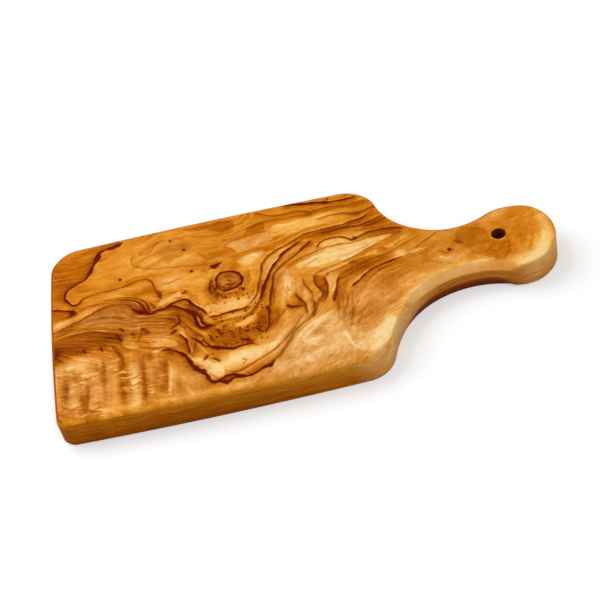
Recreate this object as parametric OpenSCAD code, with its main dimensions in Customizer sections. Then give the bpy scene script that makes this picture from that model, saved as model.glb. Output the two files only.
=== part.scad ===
// Paddle serving board, cut from one plank: a blade with a square end, rounded shoulders, a waisted
// neck and a round handle end with a hanging hole. It lies flat, with its square end towards -X and
// its handle towards +X. Half widths are measured from the handle's own axis, because the outline is
// shaped by hand and its two sides aren't alike.

/* [Plank] */
// Overall length, from the square end to the tip of the handle
board_l = 350; // [320:1:420]
// Thickness of the plank
board_t = 20.5; // [18:0.5:28]
// How far the middle of the square end stands out past its corners
end_bow = 2; // [0.5:0.1:4]

/* [Far side of the blade] */
// Half width at the square end
far_end_w = 80.5; // [70:0.5:95]
// Half width where the side turns into the shoulder
far_side_w = 78.5; // [70:0.5:95]
// Length of the side, from the square end to the shoulder
far_side_l = 212.5; // [180:0.5:225]
// Swell of the side between its ends
far_swell = 1.3; // [0:0.1:3]
// Corner radius at the square end
far_corner_r = 20; // [9:0.5:30]
// Radius of the shoulder
far_shoulder_r = 25; // [12:0.5:32]

/* [Near side of the blade] */
// Half width at the square end
near_end_w = 81.5; // [70:0.5:95]
// Half width where the side turns into the shoulder
near_side_w = 82.5; // [70:0.5:95]
// Length of the side, from the square end to the shoulder
near_side_l = 206.5; // [180:0.5:225]
// Swell of the side between its ends
near_swell = 1.7; // [0:0.1:3]
// Corner radius at the square end
near_corner_r = 9; // [8:0.5:30]
// Radius of the shoulder
near_shoulder_r = 21.5; // [12:0.5:32]

/* [Handle] */
// Half width of the neck on its far side
far_neck_w = 20.5; // [15:0.5:24]
// Half width of the neck on its near side
near_neck_w = 23; // [15:0.5:24]
// Radius of the round end on its far side
far_knob_r = 29.5; // [26:0.5:36]
// Radius of the round end on its near side
near_knob_r = 28; // [26:0.5:36]
// Straight run at the tip, between the two rounds
knob_flat = 1.5; // [0.5:0.5:4]

/* [Hanging hole] */
// Diameter of the hole
hole_d = 9.5; // [5:0.5:14]
// From the tip of the handle to the hole's centre
hole_inset = 37.5; // [24:0.5:48]
// From the handle's axis to the hole's centre, towards the far side
hole_side = 3.5; // [-6:0.5:6]
// Eased rim of the hole, on both faces
hole_ease = 0.4; // [0.2:0.1:1.5]

/* [Eased upper edge] */
// Radius along the square end
end_ease = 3; // [1:0.1:4]
// Radius along the sides of the blade
side_ease = 3; // [1:0.1:6]
// Radius round the handle's end
knob_ease = 1; // [0.5:0.1:4]
// Radius round the far corner of the square end
far_corner_ease = 4; // [1:0.1:6]
// Radius where the far shoulder runs into the neck
far_hollow_ease = 1.5; // [1:0.1:6]
// Radius along the far side of the neck
far_neck_ease = 4; // [1:0.1:7]
// Radius round the near corner of the square end
near_corner_ease = 5; // [1:0.1:6]
// Radius at the tip of the near shoulder
near_shoulder_ease = 5.5; // [1:0.1:7]
// Radius where the near shoulder runs into the neck
near_hollow_ease = 2; // [1:0.1:6]
// Radius along the near side of the neck
near_neck_ease = 5; // [1:0.1:7]
// How flat the near shoulder's edge is sanded: 0 a round, 1 a bevel
shoulder_flat = 0.6; // [0:0.1:1]
// How flat the edge along the near side of the neck is sanded: 0 a round, 1 a bevel
neck_flat = 1; // [0:0.1:1]

/* [Lower edge] */
// Round along the underside
foot_ease = 0.8; // [0.4:0.1:1.5]
// Round under the corners of the square end
corner_foot = 2.5; // [0.8:0.1:4]
// How far the finger relief under each side of the neck reaches in
relief_in = 2.5; // [1.5:0.1:5]
// Height of the finger relief
relief_h = 10; // [4:0.5:10.5]

/* [Hidden] */

// Extra length of a cutter past the face that it cuts
cut_over = 1;

// Facets in each stretch of half the outline, and in the two eased edges
end_n = 6;
corner_n = 9;
side_n = 14;
shoulder_n = 11;
neck_n = 20;
knob_n = 18;
ease_n = 6;
foot_n = 3;
hole_n = 64;

// Centre of the hole
hole_c = [board_l - hole_inset, hole_side];

// Where each eased edge holds, by station along half the outline. A station is the number of the
// stretch (0 end, 1 corner, 2 side, 3 shoulder, 4 neck, 5 round end) plus the share of it passed.
far_ease = [
    [0, end_ease], [1, end_ease], [1.5, far_corner_ease], [2, side_ease], [3.5, side_ease],
    [4, far_hollow_ease], [4.4, far_hollow_ease], [4.75, far_neck_ease], [5.25, far_neck_ease],
    [5.6, knob_ease], [6, knob_ease]
];
near_ease = [
    [0, end_ease], [0.8, end_ease], [1.5, near_corner_ease], [2.08, side_ease], [2.85, side_ease],
    [3.25, near_shoulder_ease], [3.55, near_shoulder_ease], [4, near_hollow_ease],
    [4.2, near_hollow_ease], [4.4, near_neck_ease], [5, near_neck_ease], [5.25, knob_ease],
    [6, knob_ease]
];
// How flat each upper edge is, from 0 for a round to 1 for a bevel
far_flat = [[0, 0], [6, 0]];
near_flat = [
    [2.85, 0], [3.25, shoulder_flat], [3.55, shoulder_flat], [4, 0], [4.2, 0], [4.4, neck_flat],
    [5, neck_flat], [5.25, 0]
];
// The lower edge: its reach inwards, its height, and how flat it is
foot_reach = [
    [0.8, foot_ease], [1.5, corner_foot], [2.1, foot_ease], [4, foot_ease], [4.5, relief_in],
    [5.1, relief_in], [5.4, foot_ease]
];
foot_rise = [
    [0.8, foot_ease], [1.5, corner_foot], [2.1, foot_ease], [4, foot_ease], [4.5, relief_h],
    [4.9, relief_h], [5.1, relief_in], [5.4, foot_ease]
];
foot_flat = [[4, 0], [4.5, 1], [4.9, 1], [5.1, 0]];

function unit(v) = v / norm(v);
function heading(v) = atan2(v[1], v[0]);

// Stations along an arc about c from angle a0 to a1, without its last point: [x, y, station]
function arc_stretch(c, r, a0, a1, n, stage) = [
    for (i = [0 : n - 1])
        let (a = a0 + (a1 - a0) * i / n)
            [c[0] + r * cos(a), c[1] + r * sin(a), stage + i / n]
];

// Centre and radius of the neck's arc. It touches the shoulder arc (centre s, radius s_r) and the
// round end (centre k, radius k_r) from outside, and its lowest point is neck_w from the handle's
// axis. Writing both contacts with the arc's radius as unknown and taking it out leaves a quadratic
// in the centre's x.
function neck_arc(s, s_r, k, k_r, neck_w) =
    let (
        narrowing = k[1] + k_r - neck_w,
        drop = s[1] + s_r - neck_w,
        q = drop / narrowing,
        b = q * k[0] - s[0],
        m = q * pow(k[0], 2) - pow(s[0], 2) - drop * (k_r - k[1] - s_r + s[1]),
        x = (b - sqrt(pow(b, 2) - (q - 1) * m)) / (q - 1),
        r = (pow(x - k[0], 2) - pow(k_r, 2) + pow(neck_w - k[1], 2)) / (2 * narrowing)
    )
    [x, neck_w + r, r];

// One side of the outline, from the middle of the square end to the tip of the handle
function half_outline(end_w, side_w, side_l, swell, corner_r, shoulder_r, neck_w, knob_r, knob_side) =
    let (
        corner = [end_bow, end_w],
        hip = [side_l, side_w],
        // the corner is an arc between the bowed end and the swelling side
        to_end = unit([-2 * end_bow / end_w, -1]),
        to_hip = unit(hip - corner + [0, 4 * swell]),
        half_angle = acos(to_end * to_hip) / 2,
        from_end = corner + to_end * corner_r / tan(half_angle),
        onto_side = corner + to_hip * corner_r / tan(half_angle),
        corner_c = corner + unit(to_end + to_hip) * corner_r / sin(half_angle),
        // the shoulder leaves the side along the side's own slope
        side_run = hip - onto_side,
        slope = heading(side_run - [0, 4 * swell]),
        shoulder_c = hip + shoulder_r * [sin(slope), -cos(slope)],
        knob_c = [board_l - knob_r, knob_side],
        neck = neck_arc(shoulder_c, shoulder_r, knob_c, knob_r, neck_w),
        neck_c = [neck[0], neck[1]],
        neck_a0 = heading(shoulder_c - neck_c),
        neck_a1 = heading(knob_c - neck_c)
    )
    concat(
        [for (i = [0 : end_n - 1]) let (f = i / end_n) [from_end[0] * f * f, from_end[1] * f, f]],
        arc_stretch(corner_c, corner_r, heading(from_end - corner_c),
                    heading(onto_side - corner_c), corner_n, 1),
        [for (i = [0 : side_n - 1])
            let (f = i / side_n, p = onto_side + side_run * f)
                [p[0], p[1] + 4 * swell * f * (1 - f), 2 + f]],
        arc_stretch(shoulder_c, shoulder_r, 90 + slope, heading(neck_c - shoulder_c),
                    shoulder_n, 3),
        arc_stretch(neck_c, neck[2], neck_a0 < 0 ? neck_a0 + 360 : neck_a0,
                    neck_a1 < 0 ? neck_a1 + 360 : neck_a1, neck_n, 4),
        arc_stretch(knob_c, knob_r, heading(neck_c - knob_c), 0, knob_n, 5),
        [[board_l, knob_side, 6]]
    );

far_half = half_outline(far_end_w, far_side_w, far_side_l, far_swell, far_corner_r,
                        far_shoulder_r, far_neck_w, far_knob_r, 0);
near_half = half_outline(near_end_w, near_side_w, near_side_l, near_swell, near_corner_r,
                         near_shoulder_r, near_neck_w, near_knob_r, knob_flat);

// The whole outline, clockwise from above
outline = concat(
    far_half,
    [for (i = [len(near_half) - 1 : -1 : 1]) [near_half[i][0], -near_half[i][1], near_half[i][2]]]
);
outline_n = len(outline);

// The part's origin is the middle of its underside
outline_x = [for (p = outline) p[0]];
outline_y = [for (p = outline) p[1]];
middle = [min(outline_x) + max(outline_x), min(outline_y) + max(outline_y)] / 2;

// Unit vector from an outline point into the board
function inward(i) =
    let (
        ahead = outline[(i + 1) % outline_n],
        behind = outline[(i + outline_n - 1) % outline_n]
    )
    unit([ahead[1] - behind[1], behind[0] - ahead[0]]);

// A point of an edge of size 1 at share f of its turn, from a round towards a bevel by a share:
// [distance in, height]
function edge_point(f, flat) =
    (1 - flat) * [1 - sin(90 * f), 1 - cos(90 * f)] + flat * [1 - f, f];

// The wall's section at a station, from the underside up: [distance in, height]
function wall_section(station, ease_table, flat_table) =
    let (
        ease = lookup(station, ease_table),
        flat = lookup(station, flat_table),
        reach = lookup(station, foot_reach),
        rise = lookup(station, foot_rise)
    )
    concat(
        [for (i = [0 : foot_n])
            let (p = edge_point(i / foot_n, lookup(station, foot_flat)))
                [reach * p[0], rise * p[1]]],
        [for (i = [0 : ease_n])
            let (p = edge_point(1 - i / ease_n, flat))
                [ease * p[0], board_t - ease * p[1]]]
    );
ring_n = foot_n + ease_n + 2;

// Strips across a flat face, between the far and the near half of ring k, clockwise from above
function near_index(i) = (outline_n - i) % outline_n;
function flat_face(k) = [
    for (i = [0 : len(far_half) - 2])
        let (
            base = k * outline_n,
            a = base + i,
            b = base + i + 1,
            c = base + near_index(i + 1),
            d = base + near_index(i)
        )
        each concat(b == c ? [] : [[a, b, c]], a == d ? [] : [[a, c, d]])
];

// The wall between the rings, clockwise from outside
wall_faces = [
    for (k = [0 : ring_n - 2])
        for (i = [0 : outline_n - 1])
            let (
                a = k * outline_n + i,
                b = k * outline_n + (i + 1) % outline_n,
                c = a + outline_n,
                d = b + outline_n
            )
            each [[a, b, c], [b, d, c]]
];

// The plank: the wall's section carried round the outline, closed by the two flat faces
module plank() {
    far_n = len(far_half);
    sections = [
        for (i = [0 : outline_n - 1])
            let (station = outline[i][2])
                i < far_n ? wall_section(station, far_ease, far_flat)
                          : wall_section(station, near_ease, near_flat)
    ];
    points = [
        for (k = [0 : ring_n - 1])
            for (i = [0 : outline_n - 1])
                let (s = sections[i][k], n = inward(i))
                    [outline[i][0] + n[0] * s[0], outline[i][1] + n[1] * s[0], s[1]]
    ];
    underside = [for (f = flat_face(0)) [f[2], f[1], f[0]]];
    polyhedron(points, concat(wall_faces, underside, flat_face(ring_n - 1)));
}

// Round hole with an eased rim at both faces
module hanging_hole() {
    hole_r = hole_d / 2;
    rim_h = hole_ease + cut_over;
    translate([hole_c[0], hole_c[1], -cut_over])
        cylinder(h = board_t + 2 * cut_over, r = hole_r, $fn = hole_n);
    translate([hole_c[0], hole_c[1], board_t - hole_ease])
        cylinder(h = rim_h, r1 = hole_r, r2 = hole_r + rim_h, $fn = hole_n);
    translate([hole_c[0], hole_c[1], -cut_over])
        cylinder(h = rim_h, r1 = hole_r + rim_h, r2 = hole_r, $fn = hole_n);
}

module board() {
    color([0.82, 0.55, 0.26])
        translate([-middle[0], -middle[1], 0])
            difference() {
                plank();
                hanging_hole();
            }
}

board();
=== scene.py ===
import math

import bpy
import numpy as np
from mathutils import Matrix, Vector


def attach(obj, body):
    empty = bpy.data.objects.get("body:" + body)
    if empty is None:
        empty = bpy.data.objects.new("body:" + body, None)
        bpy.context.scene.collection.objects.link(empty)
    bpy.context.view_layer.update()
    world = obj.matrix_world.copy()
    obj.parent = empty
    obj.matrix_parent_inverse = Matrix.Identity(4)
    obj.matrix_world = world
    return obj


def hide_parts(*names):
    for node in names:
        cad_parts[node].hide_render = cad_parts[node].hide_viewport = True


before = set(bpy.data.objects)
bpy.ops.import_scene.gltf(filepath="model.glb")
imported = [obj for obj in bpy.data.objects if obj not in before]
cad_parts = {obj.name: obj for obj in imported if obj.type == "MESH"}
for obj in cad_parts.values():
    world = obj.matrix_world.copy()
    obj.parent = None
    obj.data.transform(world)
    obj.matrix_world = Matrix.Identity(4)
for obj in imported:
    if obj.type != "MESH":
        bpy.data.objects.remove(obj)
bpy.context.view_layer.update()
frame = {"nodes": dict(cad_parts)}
print("frame loaded, nodes:", ", ".join(frame["nodes"]))

mm = 0.001

# The board's sizes in millimetres. A station counts along half the outline:
# 0 square end, 1 corner, 2 side, 3 shoulder, 4 neck, 5 round end, 6 tip.
board = {
    "length": 350.0, "thick": 20.5, "endBow": 2.0,
    "far": {
        "endW": 80.5, "sideW": 78.5, "sideL": 212.5, "swell": 1.3, "cornerR": 20.0, "shoulderR": 25.0,
        "neckW": 20.5, "knobR": 29.5, "knobSide": 0.0,
        "ease": [(0, 3), (1, 3), (1.5, 4), (2, 3), (3.5, 3), (4, 1.5), (4.4, 1.5), (4.75, 4), (5.25, 4),
                 (5.6, 1), (6, 1)],
        "facet": [(0, 0), (6, 0)],
    },
    "near": {
        "endW": 81.5, "sideW": 82.5, "sideL": 206.5, "swell": 1.7, "cornerR": 9.0, "shoulderR": 21.5,
        "neckW": 23.0, "knobR": 28.0, "knobSide": 1.5,
        "ease": [(0, 3), (.8, 3), (1.5, 5), (2.08, 3), (2.85, 3), (3.25, 5.5), (3.55, 5.5), (4, 2), (4.2, 2),
                 (4.4, 5), (5, 5), (5.25, 1), (6, 1)],
        "facet": [(2.85, 0), (3.25, .6), (3.55, .6), (4, 0), (4.2, 0), (4.4, 1), (5, 1), (5.25, 0)],
    },
    # how far the foot draws in and how high it rises; it is the finger relief where it rises reliefFrom more
    "footReach": [(0, .8), (.8, .8), (1.5, 2.5), (2.1, .8), (4, .8), (4.5, 2.5), (5.1, 2.5), (5.4, .8),
                  (6, .8)],
    "footRise": [(0, .8), (.8, .8), (1.5, 2.5), (2.1, .8), (4, .8), (4.5, 10), (4.9, 10), (5.1, 2.5),
                 (5.4, .8), (6, .8)],
    "reliefFrom": 6.0,
    "holeR": 4.75, "holeInset": 37.5, "holeSide": 3.5, "holeEase": 0.4,
    # points along half the outline, and loops across the section
    "steps": {"end": 68, "corner": 22, "side": 164, "shoulder": 36, "neck": 84, "knob": 72},
    "loops": {"under": 26, "foot": 6, "wall": 7, "round": 9, "top": 56, "holeRim": 4, "holeWall": 7},
    "spine": (-108.0, -98.0, 34.0),   # x where the inner loop starts, meets the sides and meets the neck
    "swing": 40.0,   # x from which it swings over to the hole
}


def unit(v):   # the vector over its length
    return v / np.hypot(v[0], v[1])


def heading(v):   # the angle of a vector
    return math.atan2(v[1], v[0])


# Points on a circle about c from angle a0 to a1, the last one left out: x, y, station
def arcPoints(c, r, a0, a1, n, stage):
    f = np.arange(n) / n
    a = a0 + (a1 - a0) * f
    return np.c_[c[0] + r * np.cos(a), c[1] + r * np.sin(a), stage + f]


# Half the outline from the middle of the square end to the tip: a shallow parabola, a corner arc, a swelling
# side, a shoulder arc, a hollow arc that touches the shoulder and the round end from outside, and that end
def halfOutline(b, s):
    n, bow, kr, ks = b["steps"], b["endBow"], s["knobR"], s["knobSide"]
    knobC = np.array([b["length"] - kr, ks])
    corner, hip = np.array([bow, s["endW"]]), np.array([s["sideL"], s["sideW"]])
    rise = np.array([0.0, 4 * s["swell"]])
    toEnd, toHip = unit(np.array([-2 * bow / s["endW"], -1.0])), unit(hip - corner + rise)
    half = math.acos(toEnd @ toHip) / 2
    fromEnd = corner + toEnd * s["cornerR"] / math.tan(half)
    ontoSide = corner + toHip * s["cornerR"] / math.tan(half)
    cornerC = corner + unit(toEnd + toHip) * s["cornerR"] / math.sin(half)
    run = hip - ontoSide
    slope = heading(run - rise)
    sr, nw = s["shoulderR"], s["neckW"]
    shoulderC = hip + sr * np.array([math.sin(slope), -math.cos(slope)])
    narrowing, drop = kr + ks - nw, shoulderC[1] + sr - nw
    q = drop / narrowing
    p = q * knobC[0] - shoulderC[0]
    k = q * knobC[0] ** 2 - shoulderC[0] ** 2 - drop * (kr - ks - sr + shoulderC[1])
    x = (p - math.sqrt(p * p - (q - 1) * k)) / (q - 1)
    r = ((x - knobC[0]) ** 2 - kr ** 2 + (nw - ks) ** 2) / (2 * narrowing)
    neckC = np.array([x, nw + r])
    turn = 2 * math.pi
    f, g = np.arange(n["end"]) / n["end"], np.arange(n["side"]) / n["side"]
    side = ontoSide + run * g[:, None]
    return np.vstack([
        np.c_[fromEnd[0] * f ** 2, fromEnd[1] * f, f],
        arcPoints(cornerC, s["cornerR"], heading(fromEnd - cornerC), heading(ontoSide - cornerC),
                  n["corner"], 1),
        np.c_[side[:, 0], side[:, 1] + 4 * s["swell"] * g * (1 - g), 2 + g],
        arcPoints(shoulderC, sr, math.pi / 2 + slope, heading(neckC - shoulderC), n["shoulder"], 3),
        arcPoints(neckC, r, heading(shoulderC - neckC) % turn, heading(knobC - neckC) % turn, n["neck"], 4),
        arcPoints(knobC, kr, heading(neckC - knobC), 0.0, n["knob"], 5),
        [[b["length"], 0.0, 6.0]],
    ])


# A value along the stations, passing from each entry of a table to the next on an S curve
def alongStations(u, table):
    at, value = np.array(table, float).T
    i = np.clip(np.searchsorted(at, u, side="right") - 1, 0, len(at) - 2)
    f = np.clip((u - at[i]) / (at[i + 1] - at[i]), 0, 1)
    return value[i] + (value[i + 1] - value[i]) * f * f * (3 - 2 * f)


# The whole board as one closed grid: loops run from a spine in the underside out to the foot, up the wall,
# over the eased edge and back in to the same spine on top; in the handle the spine opens into the hole's rim
def boardSurface(b):
    far, near = halfOutline(b, b["far"]), halfOutline(b, b["near"])
    ring = np.vstack([far, (near[1:-1] * [1, -1, 1])[::-1]])   # near's tip is left out, far's serves both
    middle = (ring[:, :2].min(0) + ring[:, :2].max(0)) / 2
    outline, u, count, h = ring[:, :2] - middle, ring[:, 2], len(ring), len(far) - 1
    ahead = np.roll(outline, -1, 0) - np.roll(outline, 1, 0)
    inward = np.c_[ahead[:, 1], -ahead[:, 0]] / np.hypot(ahead[:, 0], ahead[:, 1])[:, None]
    t, n = b["thick"], b["loops"]

    # the spine, shared by both halves up to the hole, then the two sides of the hole's rim
    steps = b["steps"]
    toSide, toNeck = steps["end"] + steps["corner"], steps["end"] + steps["corner"] + steps["side"]
    toKnob = h - steps["knob"]
    holeC = np.array([b["length"] - b["holeInset"], b["holeSide"]]) - middle
    rim = b["holeR"] + b["holeEase"]
    j = np.minimum(np.arange(count), count - np.arange(count))
    sx = np.interp(j, [0, toSide, toNeck, toKnob], [*b["spine"], holeC[0] - rim])
    lift = np.clip((sx - b["swing"]) / (holeC[0] - rim - b["swing"]), 0, 1)
    spine = np.c_[sx, -middle[1] + (holeC[1] + middle[1]) * lift * lift * (3 - 2 * lift)]
    around = np.pi * (1 - np.clip((j - toKnob) / (h - toKnob), 0, 1)) * np.where(np.arange(count) <= h, 1, -1)
    rimWay = np.c_[np.cos(around), np.sin(around)]
    onRim = j >= toKnob
    spine[onRim] = holeC + rim * rimWay[onRim]

    def bothSides(key):
        return np.r_[alongStations(u[:h + 1], b["far"][key]), alongStations(u[h + 1:], b["near"][key])]

    ease, facet = bothSides("ease"), bothSides("facet")
    reach, riseH = alongStations(u, b["footReach"]), alongStations(u, b["footRise"])
    relief = np.clip((riseH - reach) / b["reliefFrom"], 0, 1)   # 0 on a plain round foot, 1 under the neck
    loops = []

    # the outline moved in, then drawn towards the spine by a share; flank, low and bevel tell the wood where
    # it is:
    # on a wall; near the table, in the finger relief under the neck and in the hole, where low carries
    # painted shade; on the sanded bevel
    def addLoop(dIn, z, share=0.0, flank=0.0, low=0.0, bevel=0.0):
        xy = outline + inward * np.broadcast_to(dIn, count)[:, None]
        xy = xy + (spine - xy) * share
        loops.append(np.c_[xy, np.stack([np.broadcast_to(v, count) for v in (z, flank, low, bevel)], 1)])

    for f in np.linspace(1, 0, n["under"], endpoint=False):
        addLoop(reach, 0.0, f)
    for f in np.linspace(0, 1, n["foot"], endpoint=False):
        c, s = math.cos(f * math.pi / 2), math.sin(f * math.pi / 2)
        dIn, z = reach * (1 - s + (s - f) * relief), riseH * (1 - c + (f - 1 + c) * relief)
        # low on the foot is painted shade, strongest in the finger relief under the neck
        addLoop(dIn, z, 0.0, s, (.5 + .5 * relief) * (1 - f ** 5))
    for f in np.linspace(0, 1, n["wall"], endpoint=False):
        addLoop(0.0, riseH + (t - ease - riseH) * f, 0.0, 1.0)
    for f in np.linspace(0, 1, n["round"], endpoint=False):
        c, s = math.cos(f * math.pi / 2), math.sin(f * math.pi / 2)
        dIn, z = ease * (1 - c + (f - 1 + c) * facet), t - ease * (1 - s + (s - f) * facet)
        addLoop(dIn, z, 0.0, c * (1 - facet) if f else 1.0, 0.0, facet if f else 0.0)
    for f in np.linspace(0, 1, n["top"] + 1):
        addLoop(ease, t, f)
    verts = np.concatenate(loops)
    vid = np.arange(len(verts)).reshape(len(loops), count)
    twin = count - np.arange(count)
    shared = (np.arange(count) > h) & (j <= toKnob)
    vid[np.ix_([0, -1], shared)] = vid[np.ix_([0, -1], twin[shared])]

    # the hole: an eased rim, a straight wall and an eased rim, between the two ends of the loops above
    hi = np.arange(toKnob, count - toKnob)
    turn = rimWay[hi]
    e, r = b["holeEase"], b["holeR"]
    a = np.linspace(0, np.pi / 2, n["holeRim"] + 1)[1:]
    top = np.c_[r + e * (1 - np.sin(a)), t - e * (1 - np.cos(a))]
    wall = np.c_[np.full(n["holeWall"], r), np.linspace(t - e, e, n["holeWall"] + 1)[1:]]
    low = np.c_[top[:-1, 0], t - top[:-1, 1]][::-1]
    profile = np.vstack([top, wall, low])
    same = np.ones((len(hi), 1))
    # the hole's wall is marked as wall and low, so it takes the painted shade of the foot colour
    holeV = np.concatenate([np.c_[holeC + turn * p[0], same * [p[1], 1, 1, 0]] for p in profile])
    holeId = len(verts) + np.arange(len(holeV)).reshape(len(profile), len(hi))
    holeId = np.vstack([vid[-1, hi], holeId, vid[0, hi]])
    verts = np.vstack([verts, holeV])

    def quads(ids):
        nextId = np.roll(ids, -1, 1)
        return np.stack([ids[:-1], ids[1:], nextId[1:], nextId[:-1]], -1).reshape(-1, 4)

    faces = np.vstack([quads(vid), quads(holeId)])
    used, faces = np.unique(faces, return_inverse=True)
    verts = verts[used]
    places = {"flank": verts[:, 3], "low": verts[:, 4], "bevel": verts[:, 5]}
    return verts[:, :3], faces.reshape(-1, 4), places
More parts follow.
